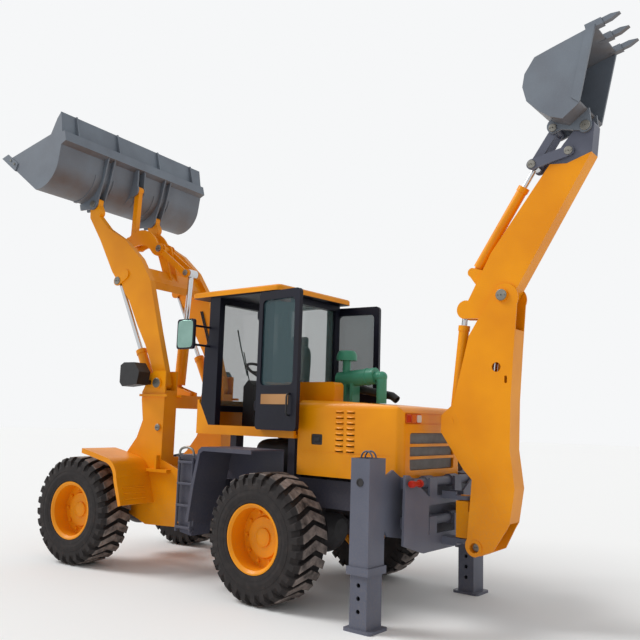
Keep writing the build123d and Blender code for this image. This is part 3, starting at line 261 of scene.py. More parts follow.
def softPlastic(name, colour, shade, roughness=0.5, grainMm=3.0):
    # injection-moulded plastic: matt with a fine leather grain
    material, tree = startMaterial(name)
    where = addNode(tree, "ShaderNodeTexCoord", out="Object")
    mottle = addNode(tree, "ShaderNodeTexNoise", None,
                     {"Vector": where, "Scale": 12.5, "Detail": 3.0}, "Fac")
    mottle = addNode(tree, "ShaderNodeMapRange", None, {"Value": mottle, "From Min": 0.35, "From Max": 0.65})
    tone = addNode(tree, "ShaderNodeMix", {"data_type": "RGBA"},
                   {0: mottle, 6: toLinear(colour), 7: toLinear(shade)}, 2)
    grain = addNode(tree, "ShaderNodeTexNoise", None,
                    {"Vector": where, "Scale": 1000 / grainMm, "Detail": 2.0}, "Fac")
    bump = addNode(tree, "ShaderNodeBump", None, {"Strength": 0.15, "Distance": 0.001, "Height": grain})
    finishMaterial(tree, {"Base Color": tone, "Roughness": roughness, "Normal": bump})
    return material


yellowEnamel = sprayPaint("yellowEnamel", "#f29a00", "#e68d00", coat=0.08)
greyEnamel = sprayPaint("greyEnamel", "#656876", "#5a5d6b", dustAmount=0.3, roughness=0.45, coat=0.04)
darkGreyEnamel = sprayPaint("darkGreyEnamel", "#504f59", "#454656", dustAmount=0.3, roughness=0.45,
                            coat=0.03)
navyEnamel = sprayPaint("navyEnamel", "#0b0c1a", "#101222", dustAmount=0.05, roughness=0.4, coat=0.05)
# the brown #5d4a3b on the bucket's down-facing faces is partly rust, partly a painted reflection of the
# ground
bucketEnamel = wornSteelPaint("bucketEnamel", "#6e7883", "#626a75", "#5d4a3b", 0.75)
greenEnamel = sprayPaint("greenEnamel", "#4f9a80", "#3c8468", dustAmount=0.1, roughness=0.35)
redEnamel = sprayPaint("redEnamel", "#b3200f", "#9c1a0c", dustAmount=0.1, roughness=0.35)
beigePaint = sprayPaint("beigePaint", "#b88a5c", "#a87a4e", dustAmount=0.2, roughness=0.6, coat=0.0)
chromeRod = rodSteel("chromeRod")
castIron = castMetal("castIron", "#3b3a3d", "#2c2a2c")
finAluminium = castMetal("finAluminium", "#8b8885", "#7a7774", metallic=0.3, roughness=0.5)
zincBolt = castMetal("zincBolt", "#8d8b84", "#77756f", metallic=0.8, roughness=0.42, strength=0.08)
mirrorSilver = castMetal("mirrorSilver", "#8fb0a6", "#84a59b", metallic=0.9, roughness=0.08, strength=0.01)
sideGlass = tintedGlass("sideGlass", "#2f4c52", 0.62)
frontGlass = tintedGlass("frontGlass", "#5c7371", 0.4)
lampGlass = tintedGlass("lampGlass", "#d8dcdc", 0.55)
blackPlastic = softPlastic("blackPlastic", "#141416", "#1d1d20")
seatVinyl = softPlastic("seatVinyl", "#17171a", "#222225", 0.6, 4.0)
redLens = softPlastic("redLens", "#b01c12", "#c02a1a", 0.2)
amberLens = softPlastic("amberLens", "#cf5a1a", "#d96a22", 0.2)
clearLens = softPlastic("clearLens", "#d9d2c8", "#cfc6ba", 0.2)
sootSteel = castMetal("sootSteel", "#1c1b1e", "#2a2728", roughness=0.6)

# name of a node or the start of it, and its finish; a later row wins over an earlier one
finishes = [
    ("", blackPlastic), ("rim_", yellowEnamel), ("hood", yellowEnamel), ("cab_base", yellowEnamel),
    ("cab_roof", yellowEnamel), ("cab_frame", navyEnamel), ("door_left", navyEnamel),
    ("door_right", navyEnamel), ("cab_glass", frontGlass), ("door_glass", sideGlass),
    ("front_chassis", yellowEnamel), ("front_fenders", yellowEnamel), ("loader_arms", yellowEnamel),
    ("bellcrank", yellowEnamel), ("bucket_link", yellowEnamel), ("boom", yellowEnamel),
    ("dipper", yellowEnamel), ("lift_barrel", yellowEnamel), ("tilt_barrel", yellowEnamel),
    ("curl_barrel", yellowEnamel), ("loader_bucket", bucketEnamel), ("hoe_bucket", bucketEnamel),
    ("rocker", greyEnamel), ("push_link", greyEnamel), ("hoe_frame", greyEnamel),
    ("stabilizer", greyEnamel), ("carriage", greyEnamel), ("kingpost", yellowEnamel),
    ("rear_chassis", darkGreyEnamel), ("fenders", darkGreyEnamel), ("tanks", darkGreyEnamel),
    ("rear_axle", castIron), ("front_axle", castIron), ("engine_block", castIron),
    ("radiator", finAluminium), ("exhaust", sootSteel), ("air_cleaner", greenEnamel),
    ("seat", seatVinyl), ("rear_lamps", amberLens), ("work_lamps", blackPlastic),
    ("lift_rod", chromeRod), ("tilt_rod", chromeRod), ("boom_rod", chromeRod), ("dipper_rod", chromeRod),
    ("curl_rod", chromeRod),
]


def dress(prefix, material):
    for name, node in nodes.items():
        if name.startswith(prefix):
            if node.material_slots:
                node.material_slots[0].material = material
            else:
                node.data.materials.append(material)


def twoTone(name, material, beyond):
    # the faces whose middle, in millimetres from the datum, passes the test wear a second colour: grey paint
    # on the dipper's nose, and navy standing for painted shade under the cab roof
    mesh = nodes[name].data
    mesh.materials.append(material)
    middles = np.empty(len(mesh.polygons) * 3)
    normals = np.empty(len(mesh.polygons) * 3)
    mesh.polygons.foreach_get("center", middles)
    mesh.polygons.foreach_get("normal", normals)
    middles = (middles.reshape(-1, 3) - np.array(datum)) * 1000
    chosen = beyond(middles, normals.reshape(-1, 3))
    index = np.where(chosen, len(mesh.materials) - 1, 0).astype(np.int32)
    mesh.polygons.foreach_set("material_index", index)


for prefix, material in finishes:
    dress(prefix, material)
for corner in ("rear_left", "rear_right", "front_left", "front_right"):
    turn = radians(layout["steerTurn"]) if corner.startswith("front") else 0.0
    wheelAxis = Vector((-sin(turn), cos(turn), 0))
    dress("tyre_" + corner, tyreRubber("rubber_" + corner, middleOf("tyre_" + corner), wheelAxis,
                                       layout["tyreRadius"] / 1000))
noseLine = ([-2524, -2332, -2197], [3627, 3571, 3589])   # x and z of the paint's edge on the dipper
# the roof's faces that point down wear navy: painted shade under the roof
twoTone("cab_roof", navyEnamel, lambda middles, normals: normals[:, 2] < -0.5)
twoTone("dipper", greyEnamel, lambda middles, normals: middles[:, 2] > np.interp(middles[:, 0], *noseLine))
print("materials on", len(nodes), "nodes")


def addPiece(name, points, faces, body, material, sharp=35.0):
    # one mesh object from points in metres; the sign of the volume tells if the faces point outwards
    points = np.asarray(points, float).reshape(-1, 3)
    corners = np.array([face[:3] for face in faces])
    first, second, third = (points[corners[:, i]] - points.mean(0) for i in range(3))
    if np.einsum("ij,ij->", first, np.cross(second, third)) < 0:
        faces = [face[::-1] for face in faces]
    mesh = bpy.data.meshes.new(name)
    mesh.from_pydata(points.tolist(), [], faces)
    mesh.polygons.foreach_set("use_smooth", [True] * len(mesh.polygons))
    mesh.set_sharp_from_angle(angle=radians(sharp))
    mesh.materials.append(material)
    piece = bpy.data.objects.new(name, mesh)
    bpy.context.scene.collection.objects.link(piece)
    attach(piece, body)
    return piece


def gridFaces(rows, columns, start=0, closed=True):
    # quads of a grid; when it is closed the columns run round and the first and last rows are capped
    across = columns if closed else columns - 1
    row, column = np.meshgrid(np.arange(rows - 1), np.arange(across), indexing="ij")
    beside = (column + 1) % columns
    quads = np.stack([row * columns + column, row * columns + beside, (row + 1) * columns + beside,
                      (row + 1) * columns + column], -1).reshape(-1, 4) + start
    caps = []
    if closed:
        caps = [list(range(start + columns - 1, start - 1, -1)),
                list(range(start + (rows - 1) * columns, start + rows * columns))]
    return quads.tolist() + caps


def manyGrids(grids):
    # joins closed grids (rows, columns, 3) into one list of points and faces
    points, faces, start = [], [], 0
    for grid in grids:
        rows, columns = grid.shape[:2]
        points.append(grid.reshape(-1, 3))
        faces += gridFaces(rows, columns, start)
        start += rows * columns
    return np.concatenate(points), faces


def turned(centre, axis, profile, sides=32):
    # profile of (along, radius) spun round an axis: centre + along * axis + radius * (cos * u + sin * v)
    axis = np.asarray(axis, float) / np.linalg.norm(axis)
    spare = np.array([0.0, 0.0, 1.0]) if abs(axis[2]) < 0.9 else np.array([1.0, 0.0, 0.0])
    across = np.cross(axis, spare)
    across /= np.linalg.norm(across)
    other = np.cross(axis, across)
    turns = np.linspace(0, 2 * pi, sides, endpoint=False)
    circle = np.cos(turns)[:, None] * across + np.sin(turns)[:, None] * other
    profile = np.asarray(profile, float)
    along, radius = profile[:, 0, None, None], profile[:, 1, None, None]
    return np.asarray(centre, float) + along * axis + radius * circle


def pipeAlong(path, radius, sides=12):
    # circle carried along a path: each ring stands across the path's tangent
    path = np.asarray(path, float)
    tangent = np.gradient(path, axis=0)
    tangent /= np.linalg.norm(tangent, axis=1)[:, None]
    spare = np.array([0.31, 0.17, 0.94])
    across = np.cross(tangent, spare)
    across /= np.linalg.norm(across, axis=1)[:, None]
    other = np.cross(tangent, across)
    turns = np.linspace(0, 2 * pi, sides, endpoint=False)
    return (path[:, None] + radius * (np.cos(turns)[None, :, None] * across[:, None]
                                      + np.sin(turns)[None, :, None] * other[:, None]))


def hexHeads(places, axis, radius, height):
    # six-sided bolt heads with a chamfered top: rings of six at the foot, the edge and the crown
    profile = [(0, radius), (height * 0.75, radius), (height, radius * 0.86)]
    return [turned(place, axis, profile, 6) for place in places]


def roundedPower(value, power):
    # the value's sign times its size raised to a power, which squares off a sine or cosine
    return np.sign(value) * np.abs(value) ** power


def softBox(low, high, power=0.25, crown=0.0, rows=28, columns=48):
    # superellipsoid between two corners: sine and cosine raised to a small power, crowned on top
    low, high = np.asarray(low, float), np.asarray(high, float)
    rise = np.linspace(-pi / 2 + 0.02, pi / 2 - 0.02, rows)[:, None]
    around = np.linspace(0, 2 * pi, columns, endpoint=False)[None, :]
    x = roundedPower(np.cos(rise), power) * roundedPower(np.cos(around), power)
    y = roundedPower(np.cos(rise), power) * roundedPower(np.sin(around), power)
    z = roundedPower(np.sin(rise), power) * np.ones_like(around)
    z = z * (1 + crown * (1 - x ** 2) * (1 - y ** 2) * (z > 0))
    return (low + high) / 2 + np.stack([x, y, z], -1) * (high - low) / 2


wheelNuts = {
    "discY": 812.0,        # mm from the middle of the machine to the wheel disc's outer face
    "circle": 207.0,
    "count": 10,
    "size": 17.0,
    "high": 22.0,
    "sidewallY": 800.0,
    "rings": ((330, 2), (398, 0)),   # radius of each raised ring, and how much lower it stands
}


def makeWheelParts():
    # nuts on a circle round the hub, and two raised rings on the side of each tyre
    wheels = [("rear_left", rearPlace, 1), ("rear_right", rearPlace, -1), ("front_left", frontPlace, 1),
              ("front_right", frontPlace, -1)]
    turns = np.arange(wheelNuts["count"]) * 2 * pi / wheelNuts["count"]
    for name, place, side in wheels:
        ahead = layout["pivotAhead"] if name.startswith("front") else 0.0
        radius = layout["tyreRadius"]
        spots = np.stack([ahead + wheelNuts["circle"] * np.cos(turns), 0 * turns + side * wheelNuts["discY"],
                          radius + wheelNuts["circle"] * np.sin(turns)], -1)
        parts = hexHeads(spots, (0, side, 0), wheelNuts["size"], wheelNuts["high"])
        hub = (ahead, side * (wheelNuts["discY"] + 25), radius)
        parts.append(turned(hub, (0, side, 0), [(0, 78), (14, 76), (20, 62), (22, 40), (23, 6)]))
        points, faces = manyGrids(parts)
        addPiece("wheelNuts_" + name, place(points), faces, "wheel_" + name, yellowEnamel)
        rings = [turned((ahead, side * wheelNuts["sidewallY"], radius), (0, side, 0),
                        [(180, ring - 6), (194 - drop, ring - 3), (194 - drop, ring + 3),
                         (180, ring + 7)], 72)
                 for ring, drop in wheelNuts["rings"]]
        closedRings = [np.concatenate([ring, ring[:1]]) for ring in rings]
        points = np.concatenate([ring.reshape(-1, 3) for ring in closedRings])
        faces = []
        for index, ring in enumerate(closedRings):
            count = ring.shape[0] * ring.shape[1]
            faces += gridFaces(ring.shape[0], ring.shape[1], index * count)[:-2]
        rubber = nodes["tyre_" + name].data.materials[0]
        addPiece("tyreRings_" + name, place(points), faces, "wheel_" + name, rubber)


makeWheelParts()
print("wheel fittings made")

louvres = {
    "columns": (-512.0, -628.0),
    "rows": 8,
    "top": 1602.0,
    "pitch": 46.5,
    "half": 43.0,
    "bulge": 13.0,         # how far the pressed lip stands out
    "sheet": 1.6,
}


def makeLouvres():
    # pressed lips: a quarter wave out of the panel, fading to the sides as 1 - u^4
    u = np.linspace(-1, 1, 13)[:, None]
    v = np.linspace(0, 1, 7)[None, :]
    out = louvres["bulge"] * np.sin(v * pi / 2) * (1 - u ** 4) + 0.6
    down = 15.0 - 17.0 * v + 0 * u
    wide = louvres["half"] * u + 0 * v
    for side, sideName in ((1, "left"), (-1, "right")):
        points, faces, start = [], [], 0
        for column in louvres["columns"]:
            for row in range(louvres["rows"]):
                z = louvres["top"] - row * louvres["pitch"]
                outer = np.stack([column + wide, side * (layout["hoodHalf"] + out), z + down], -1)
                inner = np.stack([column + wide, side * (layout["hoodHalf"] + out - louvres["sheet"]),
                                  z + down - 0.6], -1)
                shell = np.stack([outer, inner])
                rows, columns = outer.shape[:2]
                sheet = np.array(gridFaces(rows, columns, 0, False))
                points.append(shell.reshape(-1, 3))
                faces += (sheet + start).tolist() + (sheet[:, ::-1] + start + rows * columns).tolist()
                edge = np.concatenate([np.arange(columns), np.arange(1, rows) * columns + columns - 1,
                                       (rows - 1) * columns + np.arange(columns - 2, -1, -1),
                                       np.arange(rows - 2, 0, -1) * columns])
                beside = np.roll(edge, -1)
                rim = np.stack([beside, edge, edge + rows * columns, beside + rows * columns], -1)
                faces += (rim + start).tolist()
                start += 2 * rows * columns
        points = rearPlace(np.concatenate(points))
        addPiece("louvreLips_" + sideName, points, faces, "rear_frame", yellowEnamel)


def makeGrille():
    # upright blades across the opening behind the two bars
    spots = np.arange(-356, 357, 15.5)
    x = layout["hoodRear"] + 24
    blades = [turned((x, y, 1150), (0, 0, 1), [(0, 3.6), (293, 3.6)], 6) for y in spots]
    points, faces = manyGrids(blades)
    addPiece("grilleBlades", rearPlace(points), faces, "rear_frame", finAluminium)


makeLouvres()
makeGrille()
print("hood fittings made")

lampLook = {
    "y": 320.0,
    "z": 1563.0,
    "pitch": 80.0,
    "half": 33.0,
    "halfHigh": 30.0,
    "face": -1136.5,
}

lampGlassLook = {
    "headX": (886.0, 899.0),
    "headY": 680.0,
    "headHalf": 56.0,
    "headZ": (1870.0, 2004.0),
    "workLow": (169.0, 402.0, 2622.0),
    "workHigh": (179.0, 478.0, 2684.0),
}

mirrorLook = {
    "x": (983.0, 1194.0),
    "y": (862.0, 867.0),             # mm from the middle of the machine, both sides
    "z": (2174.0, 2436.0),
}


def makeRearLenses():
    # three pillowed lenses a side: red outside, amber in the middle, clear inside
    for offset, material, name in ((1, redLens, "red"), (0, amberLens, "amber"), (-1, clearLens, "clear")):
        grids = []
        for side in (1, -1):
            y = side * (lampLook["y"] + offset * lampLook["pitch"])
            low = (lampLook["face"] - 5, y - lampLook["half"], lampLook["z"] - lampLook["halfHigh"])
            high = (lampLook["face"] + 4, y + lampLook["half"], lampLook["z"] + lampLook["halfHigh"])
            grids.append(softBox(low, high, 0.35, rows=14, columns=32))
        points, faces = manyGrids(grids)
        addPiece("rearLens_" + name, rearPlace(points), faces, "rear_frame", material)


def makeLampGlass():
    # pillowed glass in front of the head lamps, and the rear work light's
    back, front = lampGlassLook["headX"]
    foot, top = lampGlassLook["headZ"]
    half = lampGlassLook["headHalf"]
    grids = [softBox((back, y - half, foot), (front, y + half, top), 0.35, rows=14, columns=36)
             for y in (lampGlassLook["headY"], -lampGlassLook["headY"])]
    points, faces = manyGrids(grids)
    addPiece("headLampGlass", frontPlace(points), faces, "front_frame", lampGlass)
    points, faces = manyGrids([softBox(lampGlassLook["workLow"], lampGlassLook["workHigh"], 0.35,
                                       rows=14, columns=36)])
    addPiece("workLightGlass", rearPlace(points), faces, "rear_frame", lampGlass)


def makeMirrors():
    # slightly convex glass on each mirror's outer face
    for side, name in ((1, "left"), (-1, "right")):
        y = sorted(side * out for out in mirrorLook["y"])
        low, high = ((mirrorLook["x"][end], y[end], mirrorLook["z"][end]) for end in (0, 1))
        points, faces = manyGrids([softBox(low, high, 0.3, rows=14, columns=40)])
        addPiece("mirrorGlass_" + name, rearPlace(points), faces, "rear_frame", mirrorSilver)


makeRearLenses()
makeLampGlass()
makeMirrors()
print("lamps and mirrors made")

seatLook = {
    "cushionLow": (425.0, -228.0, 1574.0),
    "cushionHigh": (795.0, 228.0, 1696.0),
    "backFoot": (452.0, 1706.0),     # x and z of the back's middle line, foot and head
    "backHead": (405.0, 2254.0),
    "backHalf": 213.0,
    "backThick": 48.0,
    "channels": 5,                   # sewn channels across each pad
    "channelDeep": 5.0,
    "channelsAbove": 1660.0,         # z over which the cushion is sewn
    "bellowsX": 585.0,
    "bellowsHalfX": 128.0,
    "bellowsHalfY": 140.0,
    "bellowsFoot": 1391.0,
    "bellowsRise": 181.0,
    "bellowsRibs": 5,
}


def makeSeat():
    # two padded forms with sewn channels, on a bellows pedestal
    cushion = softBox(seatLook["cushionLow"], seatLook["cushionHigh"], 0.32, 0.12, 40, 72)
    low, high = seatLook["cushionLow"], seatLook["cushionHigh"]
    share = (cushion[..., 0] - low[0]) / (high[0] - low[0])
    crease = np.abs(np.sin(share * pi * seatLook["channels"])) ** 0.35
    cushion[..., 2] -= (1 - crease) * seatLook["channelDeep"] * (cushion[..., 2] > seatLook["channelsAbove"])
    points, faces = manyGrids([cushion])
    pad = addPiece("seatCushion", rearPlace(points), faces, "rear_frame", seatVinyl, 60)
    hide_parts("seat")
    back = softBox((-1, -1, -1), (1, 1, 1), 0.32, 0.0, 48, 72)
    rise = (back[..., 2] + 1) / 2
    crease = np.abs(np.sin(rise * pi * seatLook["channels"])) ** 0.35
    belly = 8 * np.sin(rise * pi) * (back[..., 0] > 0)
    foot, top = np.array(seatLook["backFoot"]), np.array(seatLook["backHead"])
    x = foot[0] + (top[0] - foot[0]) * rise + back[..., 0] * (seatLook["backThick"] - 8) + belly
    x = x - (1 - crease) * seatLook["channelDeep"] * (back[..., 0] > 0.6)
    y = back[..., 1] * seatLook["backHalf"] * (1 - 0.12 * rise ** 3)
    z = foot[1] + (top[1] - foot[1]) * rise
    points, faces = manyGrids([np.stack([x, y, z], -1)])
    pad = addPiece("seatBack", rearPlace(points), faces, "rear_frame", seatVinyl, 60)
    steps = np.linspace(0, 1, 33)
    ribs = 6 * np.cos(steps * 2 * pi * seatLook["bellowsRibs"])
    corners = np.linspace(0, 2 * pi, 48, endpoint=False)
    ring = np.stack([roundedPower(np.cos(corners), 0.35), roundedPower(np.sin(corners), 0.35)], -1)
    x = seatLook["bellowsX"] + (seatLook["bellowsHalfX"] + ribs[:, None]) * ring[None, :, 0]
    y = (seatLook["bellowsHalfY"] + ribs[:, None]) * ring[None, :, 1]
    z = seatLook["bellowsFoot"] + seatLook["bellowsRise"] * steps[:, None] + 0 * x
    points, faces = manyGrids([np.stack([x, y, z], -1)])
    addPiece("seatBellows", rearPlace(points), faces, "rear_frame", blackPlastic)


makeSeat()
print("seat made")

# pivot pins: body, frame's place, x and z, outer end of the pin from the middle, cap radius
pinCaps = [
    ("front_frame", frontPlace, (570, 1855), 562, 50), ("front_frame", frontPlace, (520, 1400), 558, 34),
    ("loader_arms", frontPlace, (1320, 2994), 510, 44), ("loader_arms", frontPlace, (1125, 3430), 106, 40),
    ("loader_bucket", frontPlace, (1818, 3940), 517, 42), ("bellcrank", frontPlace, (690, 3110), 100, 34),
    ("bellcrank", frontPlace, (1645, 3540), 100, 34), ("kingpost", rearPlace, (-1590, 575), 104, 32),
    ("boom", rearPlace, (-1800, 2570), 108, 46), ("hoe_bucket", rearPlace, (-2487, 3840), 99, 40),
    ("hoe_bucket", rearPlace, (-2236, 3872), 108, 32), ("rocker", rearPlace, (-2353, 3667), 94, 34),
    ("rocker", rearPlace, (-2054, 3613), 94, 34),
]


def makePinCaps():
    # a chamfered disc, a grease nipple and two bolts on the end of each pin, one mesh for each body
    parts = {}
    for body, place, (x, z), end, radius in pinCaps:
        grids, _ = parts.setdefault(body, ([], place))
        for side in (1, -1):
            centre = (x, side * end, z)
            grids.append(turned(centre, (0, side, 0), [(0, radius), (6, radius), (9, radius - 4), (9.5, 3)]))
            nipple = [(0, 5), (7, 5), (10, 3), (12, 3)]
            grids.append(turned((x, side * (end + 9), z), (0, side, 0), nipple, 10))
            spots = [(x + radius * 0.62, side * (end + 8), z), (x - radius * 0.62, side * (end + 8), z)]
            grids += hexHeads(spots, (0, side, 0), 7, 6)
    for body, (grids, place) in parts.items():
        points, faces = manyGrids(grids)
        addPiece("pinCaps_" + body, place(points), faces, body, zincBolt)


makePinCaps()
print("pin caps made")


sleeveLook = {
    "ringApart": 26.0,     # each lifting ring from the sleeve's middle
    "ringReach": 50.0,
    "ringRise": 52.0,
    "ringFoot": 1254.0,
    "wire": 7.0,
    "faceOut": 107.5,
    "collarZ": 1076.0,
}


def makeSleeveFittings():
    # two lifting rings on each sleeve's top, and the collar of its lock-pin hole
    rings, collars = [], []
    turns = np.linspace(0, pi, 25)
    for side in (1, -1):
        for offset in (-sleeveLook["ringApart"], sleeveLook["ringApart"]):
            y = 0 * turns + side * layout["sleeveY"] + offset
            path = np.stack([layout["sleeveX"] + sleeveLook["ringReach"] * np.cos(turns), y,
                             sleeveLook["ringFoot"] + sleeveLook["ringRise"] * np.sin(turns)], -1)
            rings.append(pipeAlong(path, sleeveLook["wire"]))
        face = side * (layout["sleeveY"] + sleeveLook["faceOut"])
        collars.append(turned((layout["sleeveX"], face, sleeveLook["collarZ"]), (0, side, 0),
                              [(0, 31), (5, 31), (6, 27), (6, 23), (2, 22), (2, 1)]))
    points, faces = manyGrids(rings)
    addPiece("liftingRings", rearPlace(points), faces, "rear_frame", greyEnamel)
    points, faces = manyGrids(collars)
    addPiece("lockCollars", rearPlace(points), faces, "rear_frame", sootSteel)


makeSleeveFittings()


doorLook = {
    "panel": ((95, 1655), (455, 1655), (455, 1745), (95, 1745)),     # along the leaf, and z
    "panelFaces": (20.6, 23.6),
    "bar": ((21, 1560), (48, 1565), (55, 1590), (55, 1720), (48, 1745), (21, 1750)),   # outward, and z
    "barAlong": 470.0,
    "barRadius": 9.0,
}


def doorPlace(along, outward, z, side):
    # a point on the folded-back leaf: along it from the hinge, outward from the hinge line
    turn = radians(layout["doorTurn"])
    x, y = layout["doorHinge"]
    away = y + along * sin(turn) - outward * cos(turn)
    return (x + along * cos(turn) + outward * sin(turn), side * away, z)


def makeDoorFittings():
    # pale panel and grab bar on the face that shows when the leaf is back
    for side, name in ((1, "left"), (-1, "right")):
        plate = []
        for deep in doorLook["panelFaces"]:
            plate.append([doorPlace(along, deep, z, side) for along, z in doorLook["panel"]])
        points, faces = manyGrids([np.array(plate)])
        addPiece("doorPanel_" + name, rearPlace(points), faces, "door_" + name, beigePaint)
        path = [doorPlace(doorLook["barAlong"], outward, z, side) for outward, z in doorLook["bar"]]
        points, faces = manyGrids([pipeAlong(path, doorLook["barRadius"])])
        addPiece("doorBar_" + name, rearPlace(points), faces, "door_" + name, blackPlastic)


makeDoorFittings()

bucketLook = {
    "heel": (1990.0, 3938.0),
    "floorTurn": 35.6,     # degrees the floor is above level
    "half": 1130.0,
    "edgeBolts": 11,
    "boltRows": (640.0, 740.0),      # along the floor from the heel
    "boltReach": 1050.0,
    "cheekBolts": ((700.0, 52.0), (610.0, 52.0)),
    "corner": ((540, -6), (870, -6), (800, 84), (560, 84)),          # along the floor, and up from it
    "cornerFaces": (0.5, 10.5),
}


def bucketPlace(u, y, v):
    # the bucket's own axes: u along its floor from the heel, v up from the floor
    turn = radians(bucketLook["floorTurn"])
    return (bucketLook["heel"][0] + u * cos(turn) - v * sin(turn), y,
            bucketLook["heel"][1] + u * sin(turn) + v * cos(turn))


def makeBucketFittings():
    # plough bolts under the cutting edge, and a corner plate with two bolts on each cheek
    down = np.array(bucketPlace(0, 0, -1)) - np.array(bucketPlace(0, 0, 0))
    reach = bucketLook["boltReach"]
    spots = [bucketPlace(u, y, -12) for u in bucketLook["boltRows"]
             for y in np.linspace(-reach, reach, bucketLook["edgeBolts"])]
    parts = hexHeads(spots, down, 14, 9)
    for side in (1, -1):
        face = side * (bucketLook["half"] + 10)
        spots = [bucketPlace(u, face, v) for u, v in bucketLook["cheekBolts"]]
        parts += hexHeads(spots, (0, side, 0), 15, 10)
    points, faces = manyGrids(parts)
    addPiece("bucketBolts", frontPlace(points), faces, "loader_bucket", zincBolt)
    plates = []
    for side in (1, -1):
        plates.append(np.array([[bucketPlace(u, side * (bucketLook["half"] + deep), v)
                                 for u, v in bucketLook["corner"]] for deep in bucketLook["cornerFaces"]]))
    points, faces = manyGrids(plates)
    addPiece("bucketCorners", frontPlace(points), faces, "loader_bucket", bucketEnamel)


makeBucketFittings()
print("bucket fittings made")


pipeLook = {
    "radius": 8.0,
    "armY": 416.0,         # the loader arms' inner faces
    "apart": 24.0,
}


def makePipes():
    # steel pipes clipped to the boom's right side and along both loader arms' inner faces
    apart, armY = pipeLook["apart"], pipeLook["armY"]
    boomPaths = [[(-1700, -112 - apart * i, 1010), (-1735, -106 - 14 * i, 1300), (-1780, -104, 1650),
                  (-1770 + 26 * i, -104, 2000), (-1740 + 26 * i, -104, 2380)] for i in (0, 1)]
    armPaths = [[(640 + apart * i, side * armY, 2080), (760 + apart * i, side * armY, 2450),
                 (870 + apart * i, side * armY, 2750)] for i in (0, 1) for side in (1, -1)]
    for body, place, paths in (("boom", rearPlace, boomPaths), ("loader_arms", frontPlace, armPaths)):
        grids = []
        for path in paths:
            path = np.array(path, float)
            share = np.linspace(0, len(path) - 1, 40)
            smooth = np.stack([np.interp(share, np.arange(len(path)), path[:, i]) for i in range(3)], -1)
            kernel = np.array([1, 2, 3, 2, 1]) / 9
            for i in range(3):
                smooth[2:-2, i] = np.convolve(smooth[:, i], kernel, "valid")
            grids.append(pipeAlong(smooth, pipeLook["radius"]))
        points, faces = manyGrids(grids)
        addPiece("pipes_" + body, place(points), faces, body, blackPlastic, 60)


makePipes()
print("pipes made")


cabLook = {
    "wiper": ((1094, -120, 1650), (1098, -60, 1900), (1098, 40, 2200)),
    "wiperArm": ((1092, -20, 1960), (1093, 90, 2240), (1092, 150, 2420)),
    "railX": 930.0,
    "railY": 905.0,
    "railFoot": 1170.0,
    "railReach": 95.0,
    "railRise": 70.0,
}


def makeCabFittings():
    # wiper and its arm on the front pane, and a bent rail over each step
    points, faces = manyGrids([pipeAlong(cabLook["wiper"], 6), pipeAlong(cabLook["wiperArm"], 7)])
    addPiece("wiper", rearPlace(points), faces, "rear_frame", blackPlastic)
    turns = np.linspace(0, pi, 17)
    rail = np.stack([cabLook["railX"] + cabLook["railReach"] * np.cos(turns), 0 * turns + cabLook["railY"],
                     cabLook["railFoot"] + cabLook["railRise"] * np.sin(turns) ** 0.6], -1)
    other = rail * np.array([1, -1, 1])
    points, faces = manyGrids([pipeAlong(rail, 11), pipeAlong(other, 11)])
    addPiece("stepRails", rearPlace(points), faces, "rear_frame", zincBolt)


makeCabFittings()


belowCab = {
    "housingLow": (150.0, -300.0, 930.0),     # gearbox under the cab floor
    "housingHigh": (700.0, 300.0, 1330.0),
    "latchX": -268.5,
    "latchZ": 1361.0,
}


def makeUnderCab():
    # ribbed gearbox housing under the floor: a soft box whose skin waves along the machine
    body = softBox(belowCab["housingLow"], belowCab["housingHigh"], 0.4, rows=36, columns=96)
    wave = 1 + 0.03 * np.cos(body[..., 0] / 45)
    middle = (np.array(belowCab["housingLow"]) + np.array(belowCab["housingHigh"])) / 2
    body[..., 1:] = middle[1:] + (body[..., 1:] - middle[1:]) * wave[..., None]
    points, faces = manyGrids([body])
    addPiece("gearboxHousing", rearPlace(points), faces, "rear_frame", sootSteel)
    grids = []
    for y in (layout["hoodHalf"] - 14, -layout["hoodHalf"] + 14):
        low = (belowCab["latchX"] - 70, y - 5, belowCab["latchZ"] - 55)
        high = (belowCab["latchX"] + 70, y + 5, belowCab["latchZ"] + 55)
        grids.append(softBox(low, high, 0.12, rows=10, columns=40))
        knobLow = (low[0] + 40, y - 12, low[2] + 30)
        knobHigh = (high[0] - 40, y + 12, high[2] - 30)
        grids.append(softBox(knobLow, knobHigh, 0.4, rows=12))
    points, faces = manyGrids(grids)
    addPiece("hoodLatches", rearPlace(points), faces, "rear_frame", blackPlastic)


makeUnderCab()


lockCylinder = {
    "foot": (-1302.0, 480.0, 1065.0),
    "profile": ((0, 24), (8, 30), (26, 30), (28, 20), (120, 20), (122, 27), (150, 27), (158, 22),
                (160, 4)),
}


def makeLockCylinder():
    # short red cylinder with a capped end beside the upper rail; its profile is (along, radius)
    points, faces = manyGrids([turned(lockCylinder["foot"], (0, 1, 0), lockCylinder["profile"], 28)])
    addPiece("lockCylinder", rearPlace(points), faces, "carriage", redEnamel)


makeLockCylinder()
print("cab fittings made")

studio = {
    "floorRadius": 60.0,
    "floorColour": "#f4f4f3",
    "skyColour": "#f6f7f8",
    "skyLight": 0.62,
    "sunLight": 1.9,
    "sunAngle": 24.0,
    "sunTurn": (46.0, 0.0, 118.0),   # degrees
}


def makeFloor():
    # a disc: radius times cosine and sine
    turns = np.linspace(0, 2 * pi, 96, endpoint=False)
    rim = np.stack([np.cos(turns), np.sin(turns), 0 * turns], 1) * studio["floorRadius"]
    mesh = bpy.data.meshes.new("floor")
    mesh.from_pydata(rim.tolist(), [], [list(range(96))])
    floor = bpy.data.objects.new("floor", mesh)
    bpy.context.scene.collection.objects.link(floor)
    material, tree = startMaterial("paleFloor")
    finishMaterial(tree, {"Base Color": toLinear(studio["floorColour"]), "Roughness": 0.9})
    mesh.materials.append(material)


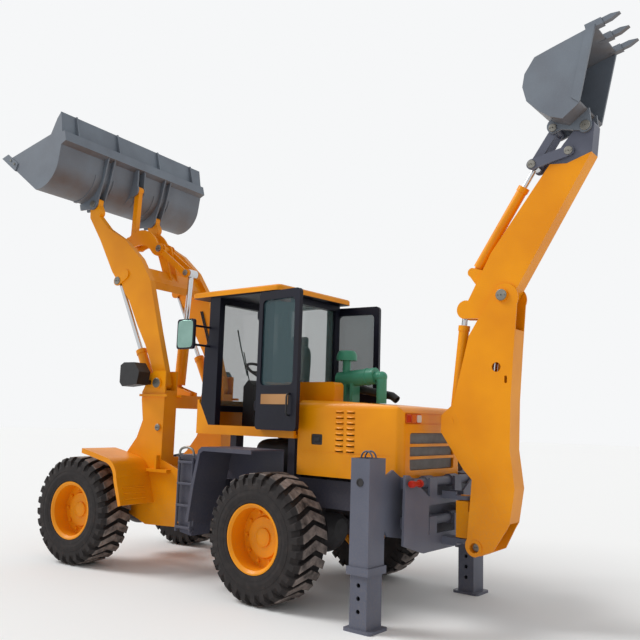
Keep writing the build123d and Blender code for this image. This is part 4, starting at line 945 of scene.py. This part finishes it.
def makeSky():
    # an even pale dome that lights softly; the camera, metal and glass see it at full white
    world = bpy.data.worlds.new("softSky")
    bpy.context.scene.world = world
    world.use_nodes = True
    tree = world.node_tree
    tree.nodes.clear()
    camera = addNode(tree, "ShaderNodeLightPath", out="Is Camera Ray")
    glossy = addNode(tree, "ShaderNodeLightPath", out="Is Glossy Ray")
    through = addNode(tree, "ShaderNodeLightPath", out="Is Transmission Ray")
    seen = addNode(tree, "ShaderNodeMath", {"operation": "MAXIMUM"}, {0: glossy, 1: through})
    seen = addNode(tree, "ShaderNodeMath", {"operation": "MAXIMUM"}, {0: camera, 1: seen})
    light = addNode(tree, "ShaderNodeBackground", None,
                    {"Color": toLinear(studio["skyColour"]), "Strength": studio["skyLight"]})
    backdrop = addNode(tree, "ShaderNodeBackground", None,
                       {"Color": toLinear(studio["skyColour"]), "Strength": 1.0})
    mixed = addNode(tree, "ShaderNodeMixShader", None, {0: seen, 1: light, 2: backdrop})
    addNode(tree, "ShaderNodeOutputWorld", None, {"Surface": mixed})


def makeSun():
    lamp = bpy.data.lights.new("softSun", "SUN")
    lamp.energy = studio["sunLight"]
    lamp.angle = radians(studio["sunAngle"])
    sun = bpy.data.objects.new("softSun", lamp)
    sun.rotation_euler = [radians(v) for v in studio["sunTurn"]]
    bpy.context.scene.collection.objects.link(sun)


cameraSet = {
    "fromAxle": (-4.2854, 5.5784, 1.5483),   # metres from the ground point under the rear axle
    "heading": -51.636,
    "tilt": 7.543,
    "roll": 1.766,
    "lens": 41.46,
}


def makeCamera():
    heading, tilt, roll = (radians(cameraSet[key]) for key in ("heading", "tilt", "roll"))
    ahead = Vector((cos(heading) * cos(tilt), sin(heading) * cos(tilt), sin(tilt)))
    level = ahead.cross(Vector((0, 0, 1))).normalized()
    upward = level.cross(ahead)
    right = level * cos(roll) + upward * sin(roll)
    top = right.cross(ahead)
    data = bpy.data.cameras.new("camera")
    data.lens = cameraSet["lens"]
    data.sensor_width = 36.0
    camera = bpy.data.objects.new("camera", data)
    turn = Matrix((right, top, -ahead)).transposed().to_4x4()
    camera.matrix_world = Matrix.Translation(datum + Vector(cameraSet["fromAxle"])) @ turn
    bpy.context.scene.collection.objects.link(camera)
    bpy.context.scene.camera = camera


makeFloor()
makeSky()
makeSun()
makeCamera()
bpy.context.scene.view_settings.view_transform = "Standard"
print("floor, light and camera set")
